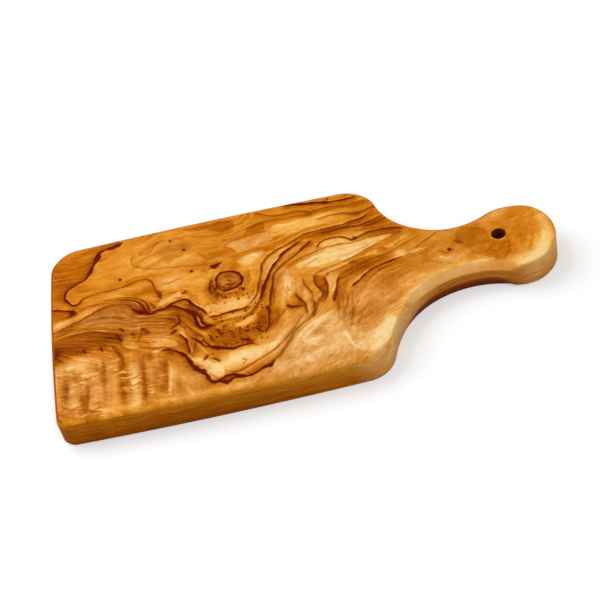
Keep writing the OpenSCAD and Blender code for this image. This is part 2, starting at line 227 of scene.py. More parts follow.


# The figure of the wood, read off the top face, in millimetres. It drifts sideways through the wood
figure = {
    "tone": 0.60, "drift": (8.0, -5.0), "flowGrid": 7.5, "ringTilt": 1.2, "veinLayers": 5, "zoneLayers": 3,
    "pathStep": 1.6, "flowStep": 4.0, "zoneStep": 2.0,
    "veinReach": 9.0, "veinTip": 2.5, "zoneReach": 5.0, "zoneFade": 4.0,
    "burl": {"centre": (-47.0, -16.0), "half": (19.0, 26.0)},
    "curl": {"x": -84.0, "fadeX": 14.0, "slant": -.5, "slantFrom": -40.0, "y": -24.0, "fadeY": 8.0},
    "paleFrom": 22.0, "paleOver": 24.0,
    # thin dark lines: name, depth, points with a half width, side. Side 0 is alike on both sides, 1 and 3 are
    # darker on the right of the line, 2 and 4 on its left; 1 and 2 also lead the growth lines beside them
    "veins": [
        # far left: the boot, the flame at the end, and the bands that run into the dark fold
        ("boot", 1.0, [(-119, 77, .5), (-123, 76.6, 1.5), (-126, 75.6, 1.7), (-129, 74.8, 1.3),
            (-134, 74.2, .9), (-137.5, 72.5, 1.2), (-139, 68.5, 1.9), (-140.5, 65, 1.4), (-142.5, 61.5, .9),
            (-144, 58.5, 1.5), (-145, 54.5, 1.9), (-147, 51, 1.2), (-150, 48.3, .8), (-155, 46, .6),
            (-160, 43.6, .6), (-163, 40, .7), (-163.8, 36, .9), (-163.2, 32.5, .8), (-161, 29, .6),
            (-159, 26.8, .6), (-156.4, 26, .6), (-153.4, 27.8, .5), (-151, 30.6, .3)], 3),
        ("bootSole", .75, [(-155.6, 26, .3), (-153.4, 28, .5), (-151.5, 30.4, .5), (-146, 31.8, .45),
            (-138, 32.8, .45), (-128, 33, .45), (-120, 34, .45), (-114, 35.8, .45), (-109, 36.8, .45),
            (-105, 36, .5), (-102.3, 33, .6), (-101, 30, .7), (-100.5, 26, .6), (-99.5, 22.5, .6),
            (-98, 18.5, .8), (-96.5, 15.4, 1.1), (-95, 14.4, .5)], 0),
        ("flameUpper", 1.0, [(-176, 26.6, .5), (-170, 25, .6), (-164, 23, .7), (-160.5, 21.3, 1.0),
            (-158.5, 19.4, 2.3), (-156.5, 18.8, 1.9), (-154.5, 19, .5)], 1),
        ("flameLower", .8, [(-168, 16.6, .3), (-162, 17.2, .5), (-159, 17.8, .9), (-156, 18, .8)], 1),
        ("bandA", .9, [(-138, 24.4, .3), (-132, 23.7, .45), (-125, 21.6, .5), (-118.6, 19.5, .5),
            (-114, 17.4, .5), (-111.4, 14.6, .6), (-109.8, 11, .8), (-108.4, 7.6, 1.0), (-106.8, 4.4, 1.3),
            (-104.8, 2.4, .9), (-100, 2.4, .4)], 0),
        ("bandTop", .55, [(-155, 20.6, .3), (-149, 22.4, .4), (-141, 22.6, .45), (-134, 22, .45),
            (-126, 20.2, .45), (-120, 18.2, .45), (-116, 15.8, .5), (-113.8, 12.4, .6),
            (-112.8, 9, .5)], 1),
        ("bandB", .8, [(-130, 24.8, .3), (-122, 22.8, .4), (-115.4, 20.6, .45), (-110.8, 17.8, .5),
            (-107.8, 14, .6), (-106.2, 10, .7), (-105.4, 6.4, .9), (-104.2, 3.6, .6)], 0),
        ("bandC", .7, [(-175, 3.3, .4), (-168, 6, .45), (-160, 8.6, .5), (-153, 11, .5), (-147, 13.6, .55),
            (-141, 16.8, .55), (-135, 18.4, .5), (-130, 18.6, .5), (-124, 17.2, .5), (-119, 14.5, .6),
            (-116.5, 11, .8), (-115, 7.5, 1.0), (-112, 4.5, .6)], 1),
        ("foldLobe", 1.0, [(-118.4, 12.6, .3), (-116, 9.8, .9), (-113.8, 7.4, 1.8), (-111.4, 5.8, 1.8),
            (-109, 4.6, 1.0), (-106.4, 3, .9), (-104, 1.8, .6), (-100, 1.6, .3)], 0),
        ("foldA", .7, [(-113.6, 15.4, .3), (-111.2, 13, .5), (-110.8, 10, .6), (-111.4, 7, .5)], 0),
        ("foldB", .7, [(-105.4, 14.4, .3), (-103.4, 11, .5), (-102.2, 8, .6), (-102, 5, .3)], 0),
        ("crumbA", .8, [(-98.8, 24, .3), (-97.2, 20, .9), (-95.8, 15.6, 1.1)], 0),
        ("crumbB", .6, [(-92, 18.6, .3), (-88, 17, .6), (-83, 18.8, .4)], 0),
        ("crumbC", .8, [(-84, 13.8, .3), (-79.8, 15.4, 1.0), (-77, 17.6, .5)], 0),
        ("crumbD", .6, [(-90, 13, .3), (-85, 11.6, .5), (-80, 10.4, .7)], 0),
        ("crumbE", .5, [(-96, 29, .3), (-90, 27.4, .5), (-84, 29.6, .5), (-79, 28, .3)], 0),
        ("dripA", .9, [(-153, -15, .3), (-152, -18.6, 1.3), (-151.4, -22.6, .3)], 0),
        ("dripB", .9, [(-141, -16, .3), (-140.2, -19.6, 1.2), (-139.4, -24.4, .3)], 0),
        ("dripC", .8, [(-170, -12, .3), (-171.4, -17, 1.0), (-171, -22.6, .3)], 0),
        ("rippleA", .5, [(-170, -61.6, .3), (-166, -65.4, .7), (-162, -68, .7), (-158.6, -66.2, .6),
            (-154.6, -65.4, .3)], 0),
        ("rippleB", .4, [(-173, -66, .3), (-169, -70, .7), (-165, -73.4, .3)], 0),
        ("flowB", .55, [(-120, -6, .3), (-112, -6.4, .5), (-104, -8.6, .5), (-97, -10, .5),
            (-91, -12, .4)], 0),
        ("flowC", .5, [(-123, -13, .3), (-117, -12.4, .5), (-112, -13, .4)], 0),
        ("flowD", .55, [(-104, -16.6, .3), (-98, -17, .5), (-93, -19, .5), (-88, -23, .5),
            (-84, -29, .4)], 0),
        ("flowE", .65, [(-116, -26, .3), (-110, -27.6, .6), (-104, -30, .6), (-98, -30.6, .5),
            (-92, -33, .5), (-88, -37, .4)], 0),
        ("flowF", .6, [(-77, -24, .3), (-75.4, -28, .6), (-76, -33, .7), (-77.4, -38, .6),
            (-78.6, -43, .3)], 0),
        ("flowG", .55, [(-90, -26, .3), (-86, -31, .5), (-82.6, -37, .6), (-79.6, -43, .5),
            (-77, -48, .3)], 0),
        ("bandD", .45, [(-173, 2, .3), (-165, 4.5, .35), (-156, 3.2, .4), (-148, 1.5, .4), (-140, 0, .35),
            (-132, -3, .3)], 1),
        ("bandE", .8, [(-162, -1.6, .4), (-152, -2, .55), (-145, -3, .6), (-139, -5, .7), (-134, -7, .8),
            (-129.5, -9.5, .8), (-124, -12, .5)], 1),
        ("bandF", .4, [(-152, 9, .3), (-144, 9.5, .4), (-136, 8.5, .35), (-128, 6, .4),
            (-120, 3.5, .35)], 1),
        ("bandG", .5, [(-150, 4.5, .3), (-142, 4, .4), (-133, 2.5, .4), (-125, 0, .45), (-119, -2, .4),
            (-112, -3, .5), (-105, -4.5, .45), (-98, -6.5, .4), (-92, -9, .5), (-86, -11.5, .5)], 1),
        ("bandH", .5, [(-135, 14, .3), (-128, 13, .35), (-121, 9, .4), (-118, 5, .5), (-113, 1, .5),
            (-106, -1, .45), (-98, -2.5, .4), (-92, -5, .5), (-87, -8.5, .6)], 1),
        ("knuckle", .7, [(-112.4, -7, .3), (-111, -9.6, 1.1), (-109.6, -12, 1.5), (-107.4, -14, 1.2),
            (-104.6, -15.2, .3)], 0),
        ("knuckleTail", .55, [(-111.6, -8.6, .3), (-112, -13, .6), (-112.8, -16.4, .6), (-114.6, -20, .6),
            (-116, -23, .3)], 0),
        ("mottleA", .9, [(-131, -8.4, .3), (-128.6, -11.6, .7), (-126.8, -15.6, .8), (-125, -19, .3)], 0),
        ("mottleB", .85, [(-128.4, -3.4, .3), (-126, -5.6, .8), (-124.4, -8, .6), (-124.6, -10.6, .3)], 0),
        ("mottleC", .85, [(-120.6, -10, .3), (-118, -12.4, .7), (-116.6, -15.4, .3)], 0),
        ("mottleD", .7, [(-134, -18, .3), (-131, -22.4, 1.1), (-128.8, -27, 1.2), (-127.2, -33, .3)], 0),
        ("hook", .9, [(-94, -16.2, .4), (-91.6, -15.4, .8), (-89, -14, .9), (-86.6, -12.6, .9),
            (-84.8, -11, .9), (-85.2, -8.6, .7), (-86, -5.4, .7), (-86.8, -2, .3)], 0),
        ("hookTop", .65, [(-104, -3.6, .3), (-100, -4, .45), (-96, -4.8, .5), (-92, -6.2, .6),
            (-88.6, -8.2, .6), (-86, -9.8, .4)], 0),
        ("dashA", 1.0, [(-94, -21.6, .3), (-91, -19.4, 1.1), (-88.8, -18.2, 1.1), (-86, -17, .3)], 0),
        ("dashB", 1.0, [(-87.4, -20.8, .3), (-85.6, -23.2, .7), (-84, -25.6, .8), (-82.6, -28, .8),
            (-82, -31, .6), (-81.4, -35, .55), (-80.8, -39, .5), (-81.2, -43, .3)], 1),
        ("armE", .7, [(-82, -13, .3), (-80, -17, .5), (-78, -20, .6), (-75.6, -22.6, .6),
            (-73.4, -25.2, .6), (-71, -28.6, .5), (-69, -32, .3)], 1),
        ("armF", 1.0, [(-79, -26.6, .3), (-76.4, -29.6, .6), (-73.6, -32.8, .7), (-71.2, -36, .8),
            (-68.8, -38.4, .9), (-65, -39.8, 1.0), (-61, -41.6, 1.0), (-58.6, -42.4, .5)], 1),
        ("streakA", .5, [(-131, -11, .4), (-128, -16, .7), (-126.5, -20, .6), (-124, -24, .5),
            (-119, -28.5, .4)], 0),
        ("streakB", .6, [(-129, -23, .4), (-127, -30, .8), (-126, -34, .8), (-125, -40, .4)], 0),
        # the fall on the left of the burl
        ("fallA", 1.0, [(-105, 3, .7), (-99, 4.2, .8), (-94, 4.6, .9), (-90, 7, 1.0), (-86, 8.4, .8),
            (-82, 9, 1.0), (-79, 8.4, 1.1), (-77, 6, 1.2), (-75, 2, 1.0), (-72, -1.5, .8), (-69, -5, .9),
            (-66.6, -8.5, .9), (-65.6, -11.6, .6)], 1),
        ("fallB", 1.0, [(-93, 6, .3), (-89, 5, .6), (-86, 3.6, .8), (-83, 1, .9), (-80.4, -1.2, .9),
            (-77.4, -3.4, 1.2), (-74.6, -5.6, 1.1), (-72.4, -8, .9), (-71, -11, .8), (-70.2, -14, .8),
            (-69.6, -17, .8), (-68, -19.4, 1.0), (-65.6, -20.6, .9), (-62, -20.6, .4)], 1),
        ("fallC", 1.0, [(-80, -2.2, .3), (-76.8, -4.6, .8), (-75, -7.4, .9), (-74.3, -10.6, 1.0),
            (-74, -14, 1.0), (-73.5, -17, 1.1), (-72.4, -19.6, 1.2), (-70, -21.4, 1.4), (-67, -21, 1.6),
            (-64.6, -19.8, 1.0), (-62, -19, .3)], 1),
        ("fallD", .75, [(-80.5, 5.4, .4), (-77.6, 2, .5), (-74.6, -2, .5), (-71.4, -5.6, .5),
            (-69.6, -8.6, .5), (-69.4, -12, .5), (-68.8, -15.4, .6), (-66.6, -18, .6),
            (-63.4, -18.6, .3)], 1),
        ("fallE", .6, [(-92, .5, .3), (-87, -1.6, .5), (-83, -4.4, .5), (-79.6, -7.6, .5), (-77, -11.4, .5),
            (-75.8, -15.6, .5), (-75, -19.6, .3)], 1),
        # the big vein below the burl, and its companions
        ("greatVein", 1.0, [(-101, -33.6, .3), (-97, -33, .5), (-93.5, -34, .8), (-90, -36.5, 1.2),
            (-87, -39, 1.2), (-84, -43, 1.3), (-81.5, -48, 1.6), (-79.5, -53, 1.7), (-76.5, -57, 1.6),
            (-73, -60.5, 1.6), (-71, -64, 1.7), (-69.5, -68, 1.6), (-66.5, -70.2, 1.6), (-63, -69.4, 1.3),
            (-60, -68, 1.0), (-57, -67, 1.0), (-53.5, -68, 1.1), (-49.5, -69.6, .8), (-45, -70.4, .4)], 1),
        ("greatLower", 1.0, [(-68, -70.4, .9), (-63.4, -70.9, .9), (-60.5, -72.3, 1.9), (-58, -72.3, 1.5),
            (-54, -70.7, .8), (-48, -71.2, .85), (-42, -71, .85), (-37, -69, .85), (-33, -67, 1.0),
            (-29, -66.4, 1.5), (-26.5, -64, .6), (-24, -62, .3)], 2),
        ("greatRise", .6, [(-29, -65.6, .4), (-25.6, -62.6, .9), (-22, -60, 1.2), (-19, -56, 1.3),
            (-15.5, -51.5, 1.3), (-12.5, -47, 1.1), (-10.5, -43, .8), (-6, -38.5, .6), (0, -34.8, .5),
            (4, -31, .4)], 2),
        ("greatInner", .7, [(-57, -65.6, .4), (-49, -66, .5), (-43, -63.5, .5), (-37, -60, .5),
            (-31, -57.5, .5), (-25, -54, .5), (-20, -50, .5), (-15, -45.5, .5), (-11.5, -41.5, .4),
            (-6, -34, .4), (-1, -28, .4)], 2),
        ("bowl", 1.0, [(-73, -30, .4), (-69.4, -35, .7), (-67, -39, 1.1), (-63, -41.5, 1.3),
            (-59.5, -42.6, 1.2), (-56, -44.2, 1.2), (-52, -45.4, 1.0), (-47, -44.6, .7), (-42, -44.2, .7),
            (-39.2, -44.8, .8), (-36.6, -47, .5)], 2),
        ("bowlRight", .9, [(-30, -39.6, .4), (-27, -34, .9), (-25.8, -30, .8), (-25.2, -25, .7),
            (-24.4, -20, .9), (-24.6, -16.4, 1.4), (-25.6, -14.6, 1.5), (-26.4, -13, .5)], 0),
        ("poreRow", .95, [(-66, -11.4, .6), (-62.4, -12.8, .8), (-58, -13.2, .6), (-53, -12, .8),
            (-48, -11.9, .9), (-43, -11.9, .7), (-39.5, -11, .8), (-37.4, -8.8, .4)], 1),
        ("bowlA", .9, [(-68, -26, .3), (-66.2, -29.6, .8), (-65, -33.4, .8), (-63.6, -37, .3)], 0),
        ("bowlB", .9, [(-64, -23, .3), (-60.4, -26.6, .7), (-58.6, -30.4, .8), (-58.4, -34, .3)], 0),
        ("bowlC", .9, [(-48, -37.6, .3), (-44, -39.2, .9), (-41, -40.6, 1.0), (-37.4, -42, .4)], 0),
        ("bowlD", .9, [(-37, -29, .3), (-34, -32.6, .8), (-31.6, -35.6, .8), (-29, -38, .3)], 0),
        ("bowlG", .8, [(-55, -27, .3), (-52, -30, .6), (-50.4, -34, .6), (-51.6, -38, .3)], 0),
        ("bowlH", .8, [(-48, -25.6, .3), (-45.6, -29, .6), (-46.4, -33, .5), (-45, -36, .3)], 0),
        ("bowlE", .9, [(-74, -50.6, .3), (-71.4, -49, .8), (-69.4, -46.6, .8), (-67.4, -45, .3)], 0),
        ("bowlF", .85, [(-67.6, -49, .3), (-65, -50.6, .9), (-62.4, -53, .8), (-60.4, -55.6, .3)], 0),
        ("layerA", .45, [(-63, -17, .3), (-56, -18.4, .5), (-49, -18.6, .5), (-42, -18.6, .5),
            (-37, -15.6, .5), (-33, -11.6, .4)], 1),
        ("layerB", .45, [(-57, -21.6, .4), (-50, -22, .5), (-44, -21, .9), (-39, -19.8, .5), (-34, -16, .5),
            (-29, -11, .4)], 1),
        # right arms of the burl, swinging up to the far shoulder
        ("armInner", .85, [(-38, -9, .5), (-36, -7.5, .6), (-33, -4.5, .6), (-30.5, 0, .6), (-29.5, 4, .6),
            (-28.6, 8, .6), (-27.2, 12, .5), (-25.4, 19, .5), (-25, 24, .55), (-23, 28, .55),
            (-20.5, 31, .55), (-17, 34, .5), (-12, 36.5, .5), (-6.5, 38.6, .5), (-1, 41, .5), (5, 44.2, .5),
            (12, 46, .5), (20, 46.4, .55), (28, 46.8, .8), (36, 47, .7), (43, 48, .8), (49, 49, .8),
            (54, 51.5, .6), (60, 55, .4)], 1),
        ("armTail", .55, [(-44, -21.6, .3), (-40, -19, .6), (-37, -16.6, .7), (-34, -13.5, .9),
            (-30.5, -9, 1.0), (-28, -4, .9), (-26.8, 0, .4)], 1),
        ("armMain", 1.0, [(-30, -8, .3), (-28, -4, .9), (-26.5, 1, 1.3), (-24.6, 6, 1.3),
            (-22.4, 10.5, 1.2), (-20.4, 15, 1.0), (-18, 20, .8), (-15, 24, .8), (-12.5, 27, .9),
            (-9.5, 31, 1.0), (-6, 33.4, .9), (-2, 35.8, .9), (2, 38.2, .7), (7, 40.4, .4)], 1),
        ("armOuter", .85, [(-24, -17, .5), (-22.6, -8, .9), (-21.2, -3, 1.1), (-19.6, 3, .9),
            (-18.6, 8, .7), (-17.5, 13, .55), (-14, 18, .5), (-9, 22.4, .5), (-3, 26, .5), (2, 29.4, .5),
            (6, 33, .9), (10, 36.6, 1.1), (13.4, 38.6, .5)], 1),
        ("armFaint", .55, [(-21, -16, .3), (-20.3, -9, .45), (-18.8, -2, .45), (-16.6, 4, .45),
            (-14.4, 10, .4), (-10.4, 15, .4), (-5, 19.5, .45), (1, 23, .4), (8, 25, .4), (16, 27, .4),
            (24, 28.4, .5), (32, 28.6, .6), (38, 27.4, .5), (44, 27.8, .5), (52, 29, .7), (60, 29, .7),
            (68, 28.6, .6), (76, 27.6, .4)], 1),
        ("scallop", .9, [(13, 31.4, .4), (15.6, 31, 1.0), (17.4, 33.4, .6), (20, 35, .5), (26, 36.4, .5),
            (32, 35.4, .6), (36, 33.4, .7), (39.4, 30.5, 1.1), (42, 30.6, 1.8), (44.4, 31.2, .9),
            (47, 32.4, .6), (52, 34, .65), (58, 34.6, .55), (64, 34, .55), (70, 32.8, .6),
            (77, 31, .4)], 1),
        # far side
        ("farEdge", 1.0, [(-4, 79, .4), (4, 78, .9), (9, 76.6, 1.1), (15, 75.6, 1.0), (21, 74.6, 1.1),
            (27, 73, 1.1), (32, 72, .9), (38, 71.6, .9), (44, 71.6, .9), (51, 72.6, .5)], 1),
        ("farSecond", .6, [(-25, 78.8, .5), (-20, 76, .8), (-15, 73, .6), (-9, 70.8, .6), (-2, 70.4, .5),
            (5, 71, .5), (11, 69, .6), (15, 66.8, .6), (20, 67, .5), (27, 67.8, .5), (35, 66.8, .5),
            (44, 66, .5), (56, 66.6, .4)], 1),
        ("farThird", .5, [(-30, 63.4, .4), (-22, 66.6, .5), (-14, 67.4, .6), (-8, 66.6, .5), (-2, 65.2, .5),
            (5, 65.8, .5), (12, 64.6, .7), (18, 65.4, .4)], 1),
        ("farFourth", .65, [(17, 57.2, .4), (24, 58.2, .6), (30, 59, .6), (36, 58.4, .6), (41, 57, .7),
            (45, 55.4, 1.2), (47.6, 55, 1.7), (50.4, 55.6, .7), (56, 57.4, .5), (63, 59.6, .4)], 1),
        ("farFifth", .4, [(-46, 39.6, .4), (-36, 41.4, .4), (-26, 42, .5), (-18, 42, .4), (-10, 44, .4),
            (-3, 46.4, .4), (4, 48.8, .4), (11, 50.8, .5), (18, 51.2, .5), (28, 50.2, .4)], 1),
        ("shoulderA", .8, [(18, 43.6, .5), (26, 43, .8), (32, 43.6, .9), (40, 43.6, .8), (46, 42.4, .6),
            (52, 43.4, .7), (58, 45, .7), (65, 48, .5)], 1),
        ("shoulderB", .6, [(12, 44.6, .4), (22, 45, .5), (28, 45, .7), (36, 45.2, .6), (44, 46, .4),
            (50, 46.6, .4)], 1),
        ("shoulderC", .8, [(48, 40.4, .4), (53, 40.6, .7), (58, 41.6, .8), (63, 43.4, .7),
            (68, 45, .4)], 1),
        ("shoulderD", .5, [(8, 42, .3), (14, 41.4, .45), (22, 40.6, .5), (30, 40.4, .5), (38, 40, .5),
            (46, 38.6, .5), (54, 37.6, .5), (62, 37, .5), (71, 37, .4)], 1),
        ("toeCurl", .45, [(-113, 64, .4), (-115, 59, .45), (-114.4, 53, .45), (-110, 48.6, .45),
            (-102, 45, .45), (-92, 42.6, .45), (-80, 40.6, .45), (-70, 38, .45), (-60, 36.6, .6)], 4),
        ("toeInner", .4, [(-106, 66, .3), (-109, 61.6, .45), (-105, 60.6, .4), (-101, 62, .5),
            (-98, 66, .5), (-95, 69, .4), (-89, 71.4, .35)], 4),
        ("ledgeA", .5, [(-50, 52, .4), (-44, 54.6, .5), (-37, 56.4, .5), (-30, 57.4, .5), (-22, 57.6, .6),
            (-18.4, 58, .6)], 1),
        ("ledgeB", .4, [(-68, 51, .3), (-65, 47.6, .5), (-62.6, 43.6, .5), (-62.4, 40, .3)], 0),
        ("ledgeC", .4, [(-50, 51, .3), (-44, 48, .5), (-41.6, 43.6, .5), (-42, 40.4, .3)], 0),
        ("tongueA", .45, [(-72, 69, .3), (-62, 66, .4), (-52, 64.2, .5), (-44, 65.2, .5),
            (-40, 65.4, .4)], 1),
        ("tongueB", .4, [(-82, 77.6, .3), (-72, 76.6, .4), (-60, 76, .4), (-50, 76.6, .4),
            (-40.6, 74.6, .4)], 1),
        # middle: the streams that turn down towards the sapwood
        ("streamA", .9, [(-5, -7, .4), (-4.2, -11, .8), (-2, -15.5, .7), (0, -19.5, .7), (.5, -24, .5),
            (1, -30, .4)], 3),
        ("streamB", .75, [(6.8, -17, .4), (6.2, -23, 1.0), (5.4, -27, 1.2), (4.6, -31, 1.1),
            (3.8, -35, .4)], 0),
        ("streamC", .65, [(9.6, -15, .4), (9, -20, .7), (7.4, -25, .7), (6, -30, .4)], 0),
        ("streamD", .7, [(2.6, 6, .3), (2, -1, .55), (4, -6, .5), (6, -11, .5), (5.6, -16, .5),
            (4.6, -22, .4)], 3),
        ("streamE", .75, [(10, 5, .4), (9, -1, .7), (9.4, -5, .9), (11.6, -9, .8), (12.8, -14, .6),
            (11, -18, .5), (8.2, -22, .4)], 4),
        ("streamF", .8, [(16.4, 2, .4), (16.6, -3, .7), (17.4, -8, .6), (16.6, -13, .5), (15, -18, .5),
            (11.4, -23, .4)], 3),
        ("streamG", .85, [(26, 0, .4), (24.4, -6, .6), (22.6, -12, .6), (21.4, -16, 1.1), (19.6, -21, 1.2),
            (18.4, -25, .4)], 4),
        ("streamH", .5, [(31, -17, .3), (29.6, -22, .5), (28, -27, .5), (25.6, -33, .5), (24, -41, .4)], 0),
        ("streamI", .35, [(37, -26, .3), (33, -31.6, .5), (30, -38, .6), (28, -45, .5),
            (26.4, -54, .4)], 3),
        ("streamJ", .4, [(39, -34, .3), (35, -41.6, .45), (32, -48, .45), (30, -55, .3)], 0),
        ("stripeA", .4, [(23, -17, .3), (22.4, -26, .4), (21, -34, .4), (20, -42, .3)], 0),
        ("stripeB", .4, [(25.6, -16, .3), (25.4, -26, .4), (24, -36, .4), (22.6, -46, .3)], 0),
        ("stripeC", .4, [(28.4, -15, .3), (28.6, -24, .4), (27, -32, .3)], 0),
        ("stripeD", .35, [(33, -16, .3), (31.6, -24, .6), (31.4, -32, .9), (29.6, -40, .8),
            (28, -50, .4)], 0),
        ("stripeE", .4, [(-9, 3, .3), (-9.4, -3, .5), (-6.6, -7.4, .5)], 0),
        ("slash", .9, [(-14, -17, .4), (-11, -18.5, 1.0), (-8.5, -20.2, 1.1), (-5, -20.8, .6),
            (1, -21.6, .4)], 0),
        ("slashB", .5, [(-21, -30, .3), (-15.6, -23.6, .6), (-12, -19, .4)], 0),
        ("turnA", .6, [(7, 2, .4), (12, 6, .55), (18, 8.6, .55), (24, 9.8, .55), (30, 10.8, .5),
            (34, 11.8, .55), (40, 14.4, .5), (47, 17, .5), (54, 20.4, .5), (61, 23.2, .5), (68, 26, .5),
            (75, 28.4, .4)], 1),
        ("turnB", .65, [(16.5, 1, .4), (18.5, 3.4, .5), (24, 5, .5), (30, 6.6, .5), (34, 8, .6),
            (36.8, 9.2, 1.4), (38.8, 9.2, .9), (42, 8, .3)], 1),
        ("turnC", .45, [(25.6, -1, .3), (28, 1, .45), (33, 3.5, .45), (38, 8, .3)], 1),
        ("thread", .95, [(32, -14.4, .4), (34.6, -12.4, .9), (38, -10, .75), (42, -6.4, .65),
            (46, -3.4, .65), (51, -1, .6), (56, .4, .6), (61, 1.4, .75), (65.5, 2.6, .65), (72, 4, .3)], 1),
        ("neckA", .5, [(42, 10, .3), (50, 10.4, .4), (57, 9.6, .4), (63, 10.6, .55), (70, 13.4, .5),
            (77, 16.6, .5), (86, 20.6, .3)], 1),
        ("neckB", .55, [(79, 8.4, .3), (85, 12, .5), (90, 15, .5), (95, 18.4, .5), (99, 20.4, .3)], 1),
        ("neckC", .4, [(74, 4.6, .3), (82, 5.4, .5), (90, 6.6, .3)], 1),
        ("armStreakA", .5, [(0, 12.6, .3), (6, 15.6, .4), (12, 18.6, .45), (18, 20.6, .3)], 0),
        ("armStreakB", .5, [(1, 19, .3), (8, 22, .4), (15, 24, .35), (22, 25, .3)], 0),
        ("armStreakC", .35, [(24, 15.4, .3), (34, 17, .4), (44, 19.6, .4), (54, 23, .3)], 0),
        ("armStreakD", .3, [(20, 22, .3), (30, 23.4, .4), (40, 23.4, .4), (50, 25, .3)], 0),
        # the knot's eye
        ("eye", 1.0, [(-57, 20, .8), (-56, 23.6, 1.0), (-53, 26.2, 1.1), (-49, 26.4, .9), (-45, 25, .8),
            (-41.6, 22.6, .85), (-39.8, 19.6, .95), (-39.2, 16, .95), (-39.8, 12.8, .95), (-42.4, 10.2, .9),
            (-46, 8.8, .8), (-50.4, 8.2, .9), (-54, 9.6, .6), (-56.8, 12.6, .5), (-57.6, 16.4, .6),
            (-57, 20, .8)], 3),
        ("eyeLid", .8, [(-58, 18, .5), (-56, 15, .6), (-53, 12, .7), (-50.4, 8.6, .7)], 0),
        ("eyeLeft", .8, [(-61, 6.4, .4), (-62.6, 12, .9), (-61.6, 17.6, .8), (-60, 23, .4)], 0),
        ("eyeA", .75, [(-53, 19.6, .3), (-50.4, 21.8, .45), (-47, 21.6, .5), (-44.8, 19.4, .45),
            (-43.4, 16.6, .3)], 0),
        ("eyeB", .8, [(-51.6, 16.6, .3), (-49.2, 18, .5), (-47, 16.4, .6), (-44.6, 17, .3)], 0),
        ("eyeC", .8, [(-53.4, 14.4, .3), (-50.4, 14.2, .6), (-47.6, 12.8, .7), (-45, 13.6, .5),
            (-42.6, 15.6, .3)], 0),
        ("eyeD", .8, [(-51.4, 11, .4), (-48.6, 11, .6), (-45.8, 10.4, .4)], 0),
        ("eyeE", .85, [(-61, 9.6, .5), (-58.4, 11.6, 1.0), (-56.4, 14.4, .7), (-54.8, 17, .3)], 0),
        ("eyeF", .8, [(-60, 4.6, .4), (-57.6, 6.8, .9), (-55, 8.6, .7)], 0),
        ("eyeG", .8, [(-62.8, 14, .4), (-60.2, 15, .8), (-58.4, 17.4, .5)], 0),
        ("brow", 1.0, [(-61, 32.4, .4), (-59, 33.8, 2.3), (-56.2, 34.6, 2.0), (-53, 35.8, .9),
            (-50, 37, .4)], 0),
        ("handleEyeA", .5, [(97, 3, .3), (98.6, -.6, .4), (101.4, -2.2, .45), (104, -1, .4),
            (104.6, 1.6, .3)], 3),
        ("handleEyeB", .5, [(105, 6, .3), (108, 7.6, .5), (111.4, 6, .6), (112.6, 3.4, .5),
            (110.4, 1.6, .3)], 3),
        ("handleArc", .4, [(141, 3, .3), (142.6, -3, .45), (142, -9, .4), (139.6, -14.6, .3)], 0),
    ],
    # small dark dots: x, y, radius
    "spots": [(-86, 68.6, 1.3), (-77, 57, 1.5), (-124, 41.4, 1.5), (-73.4, 34, 1.5), (-39.5, 6.3, 1.6),
        (-64, -8.5, 1.0), (-44, -1.6, .9), (-40, .6, .9), (-42, -32, 1.2), (-32.6, -28, 1.1),
        (-40, -42, 1.2), (-56.5, -40, 1.1), (-39, -15.5, .8), (-33, -33, .9), (-60, 9, 1.1),
        (-58, 4.6, 1.0), (-55, 12.6, .8), (-54, 3, .9), (-79, 16, 1.1), (29.4, 75.7, 1.1), (102.6, .2, 1.6),
        (109.6, 4.4, .7), (-101.6, 8, 1.3), (-97, 15, 1.1),
        (-66.4, -20, 1.4), (-64.2, -20.8, 1.1), (-61.4, -15.6, 1.0), (-61.6, -32, 1.0), (-61.4, -38.4, .9),
        (-66, -46.2, .9), (-60.6, 15, 1.0), (-58.6, 12.2, 1.0), (-56, 5.4, .9), (-43.6, -1.8, 1.1),
        (-49, .8, .8),
        (-53, -2.8, .8), (-36.6, -2.6, .9), (-37, 1, .8), (-59, -1.8, .8), (-25, -15.4, 1.4),
        (-24, -18.2, 1.1), (-42, -20.8, 1.1), (-32, -41.4, 1.1), (-28.4, -42.4, .9), (-28.4, -36.4, 1.0),
        (-35.6, -46.4, .9), (-37.2, -31.6, .9),
        (-46.2, -56, .8), (-44.6, -57.6, .8), (-46.4, -60, .9)],
    # areas with a clear edge: tone, sapwood, points round them
    "zones": [
        # far side
        (-.10, 0, [(-76, 77), (-66, 74), (-58, 71), (-50, 66), (-46, 65), (-40.5, 65.6), (-40, 72),
            (-40.4, 76.6), (-50, 78), (-64, 78.6)]),
        (-.07, 0, [(-68, 50.6), (-62, 52.6), (-54, 53), (-49, 51), (-45, 49), (-42, 45), (-42.4, 40.4),
            (-50, 40), (-58, 40.4), (-62, 41.6), (-64, 45.6)]),
        (-.07, .3, [(-98, 61), (-92, 65), (-84, 64), (-75, 61), (-70, 59.4), (-72, 56), (-80, 53.6),
            (-90, 53), (-96, 55.6)]),
        (-.13, 0, [(-50, 57.4), (-40, 58.6), (-33, 60), (-30, 64), (-24, 67.4), (-18.6, 66.4), (-18.2, 57),
            (-24, 57), (-32, 57.6), (-40, 56.6)]),
        (.07, 0, [(-14, 55), (-12.6, 60), (-6, 63.6), (4, 64), (12, 61.6), (22, 61.4), (30, 60), (30, 54),
            (18, 53), (6, 52), (-4, 49.6), (-11, 50.4)]),
        (.05, .35, [(-46, 53), (-38, 55), (-28, 56.4), (-18, 55.6), (-13, 51.4), (-16, 47), (-26, 45),
            (-38, 43), (-41, 45.6)]),
        (.18, .5, [(-41.6, 33), (-37, 36.4), (-29, 37.6), (-21.6, 38.6), (-27, 33), (-30.6, 29),
            (-36, 28.8)]),
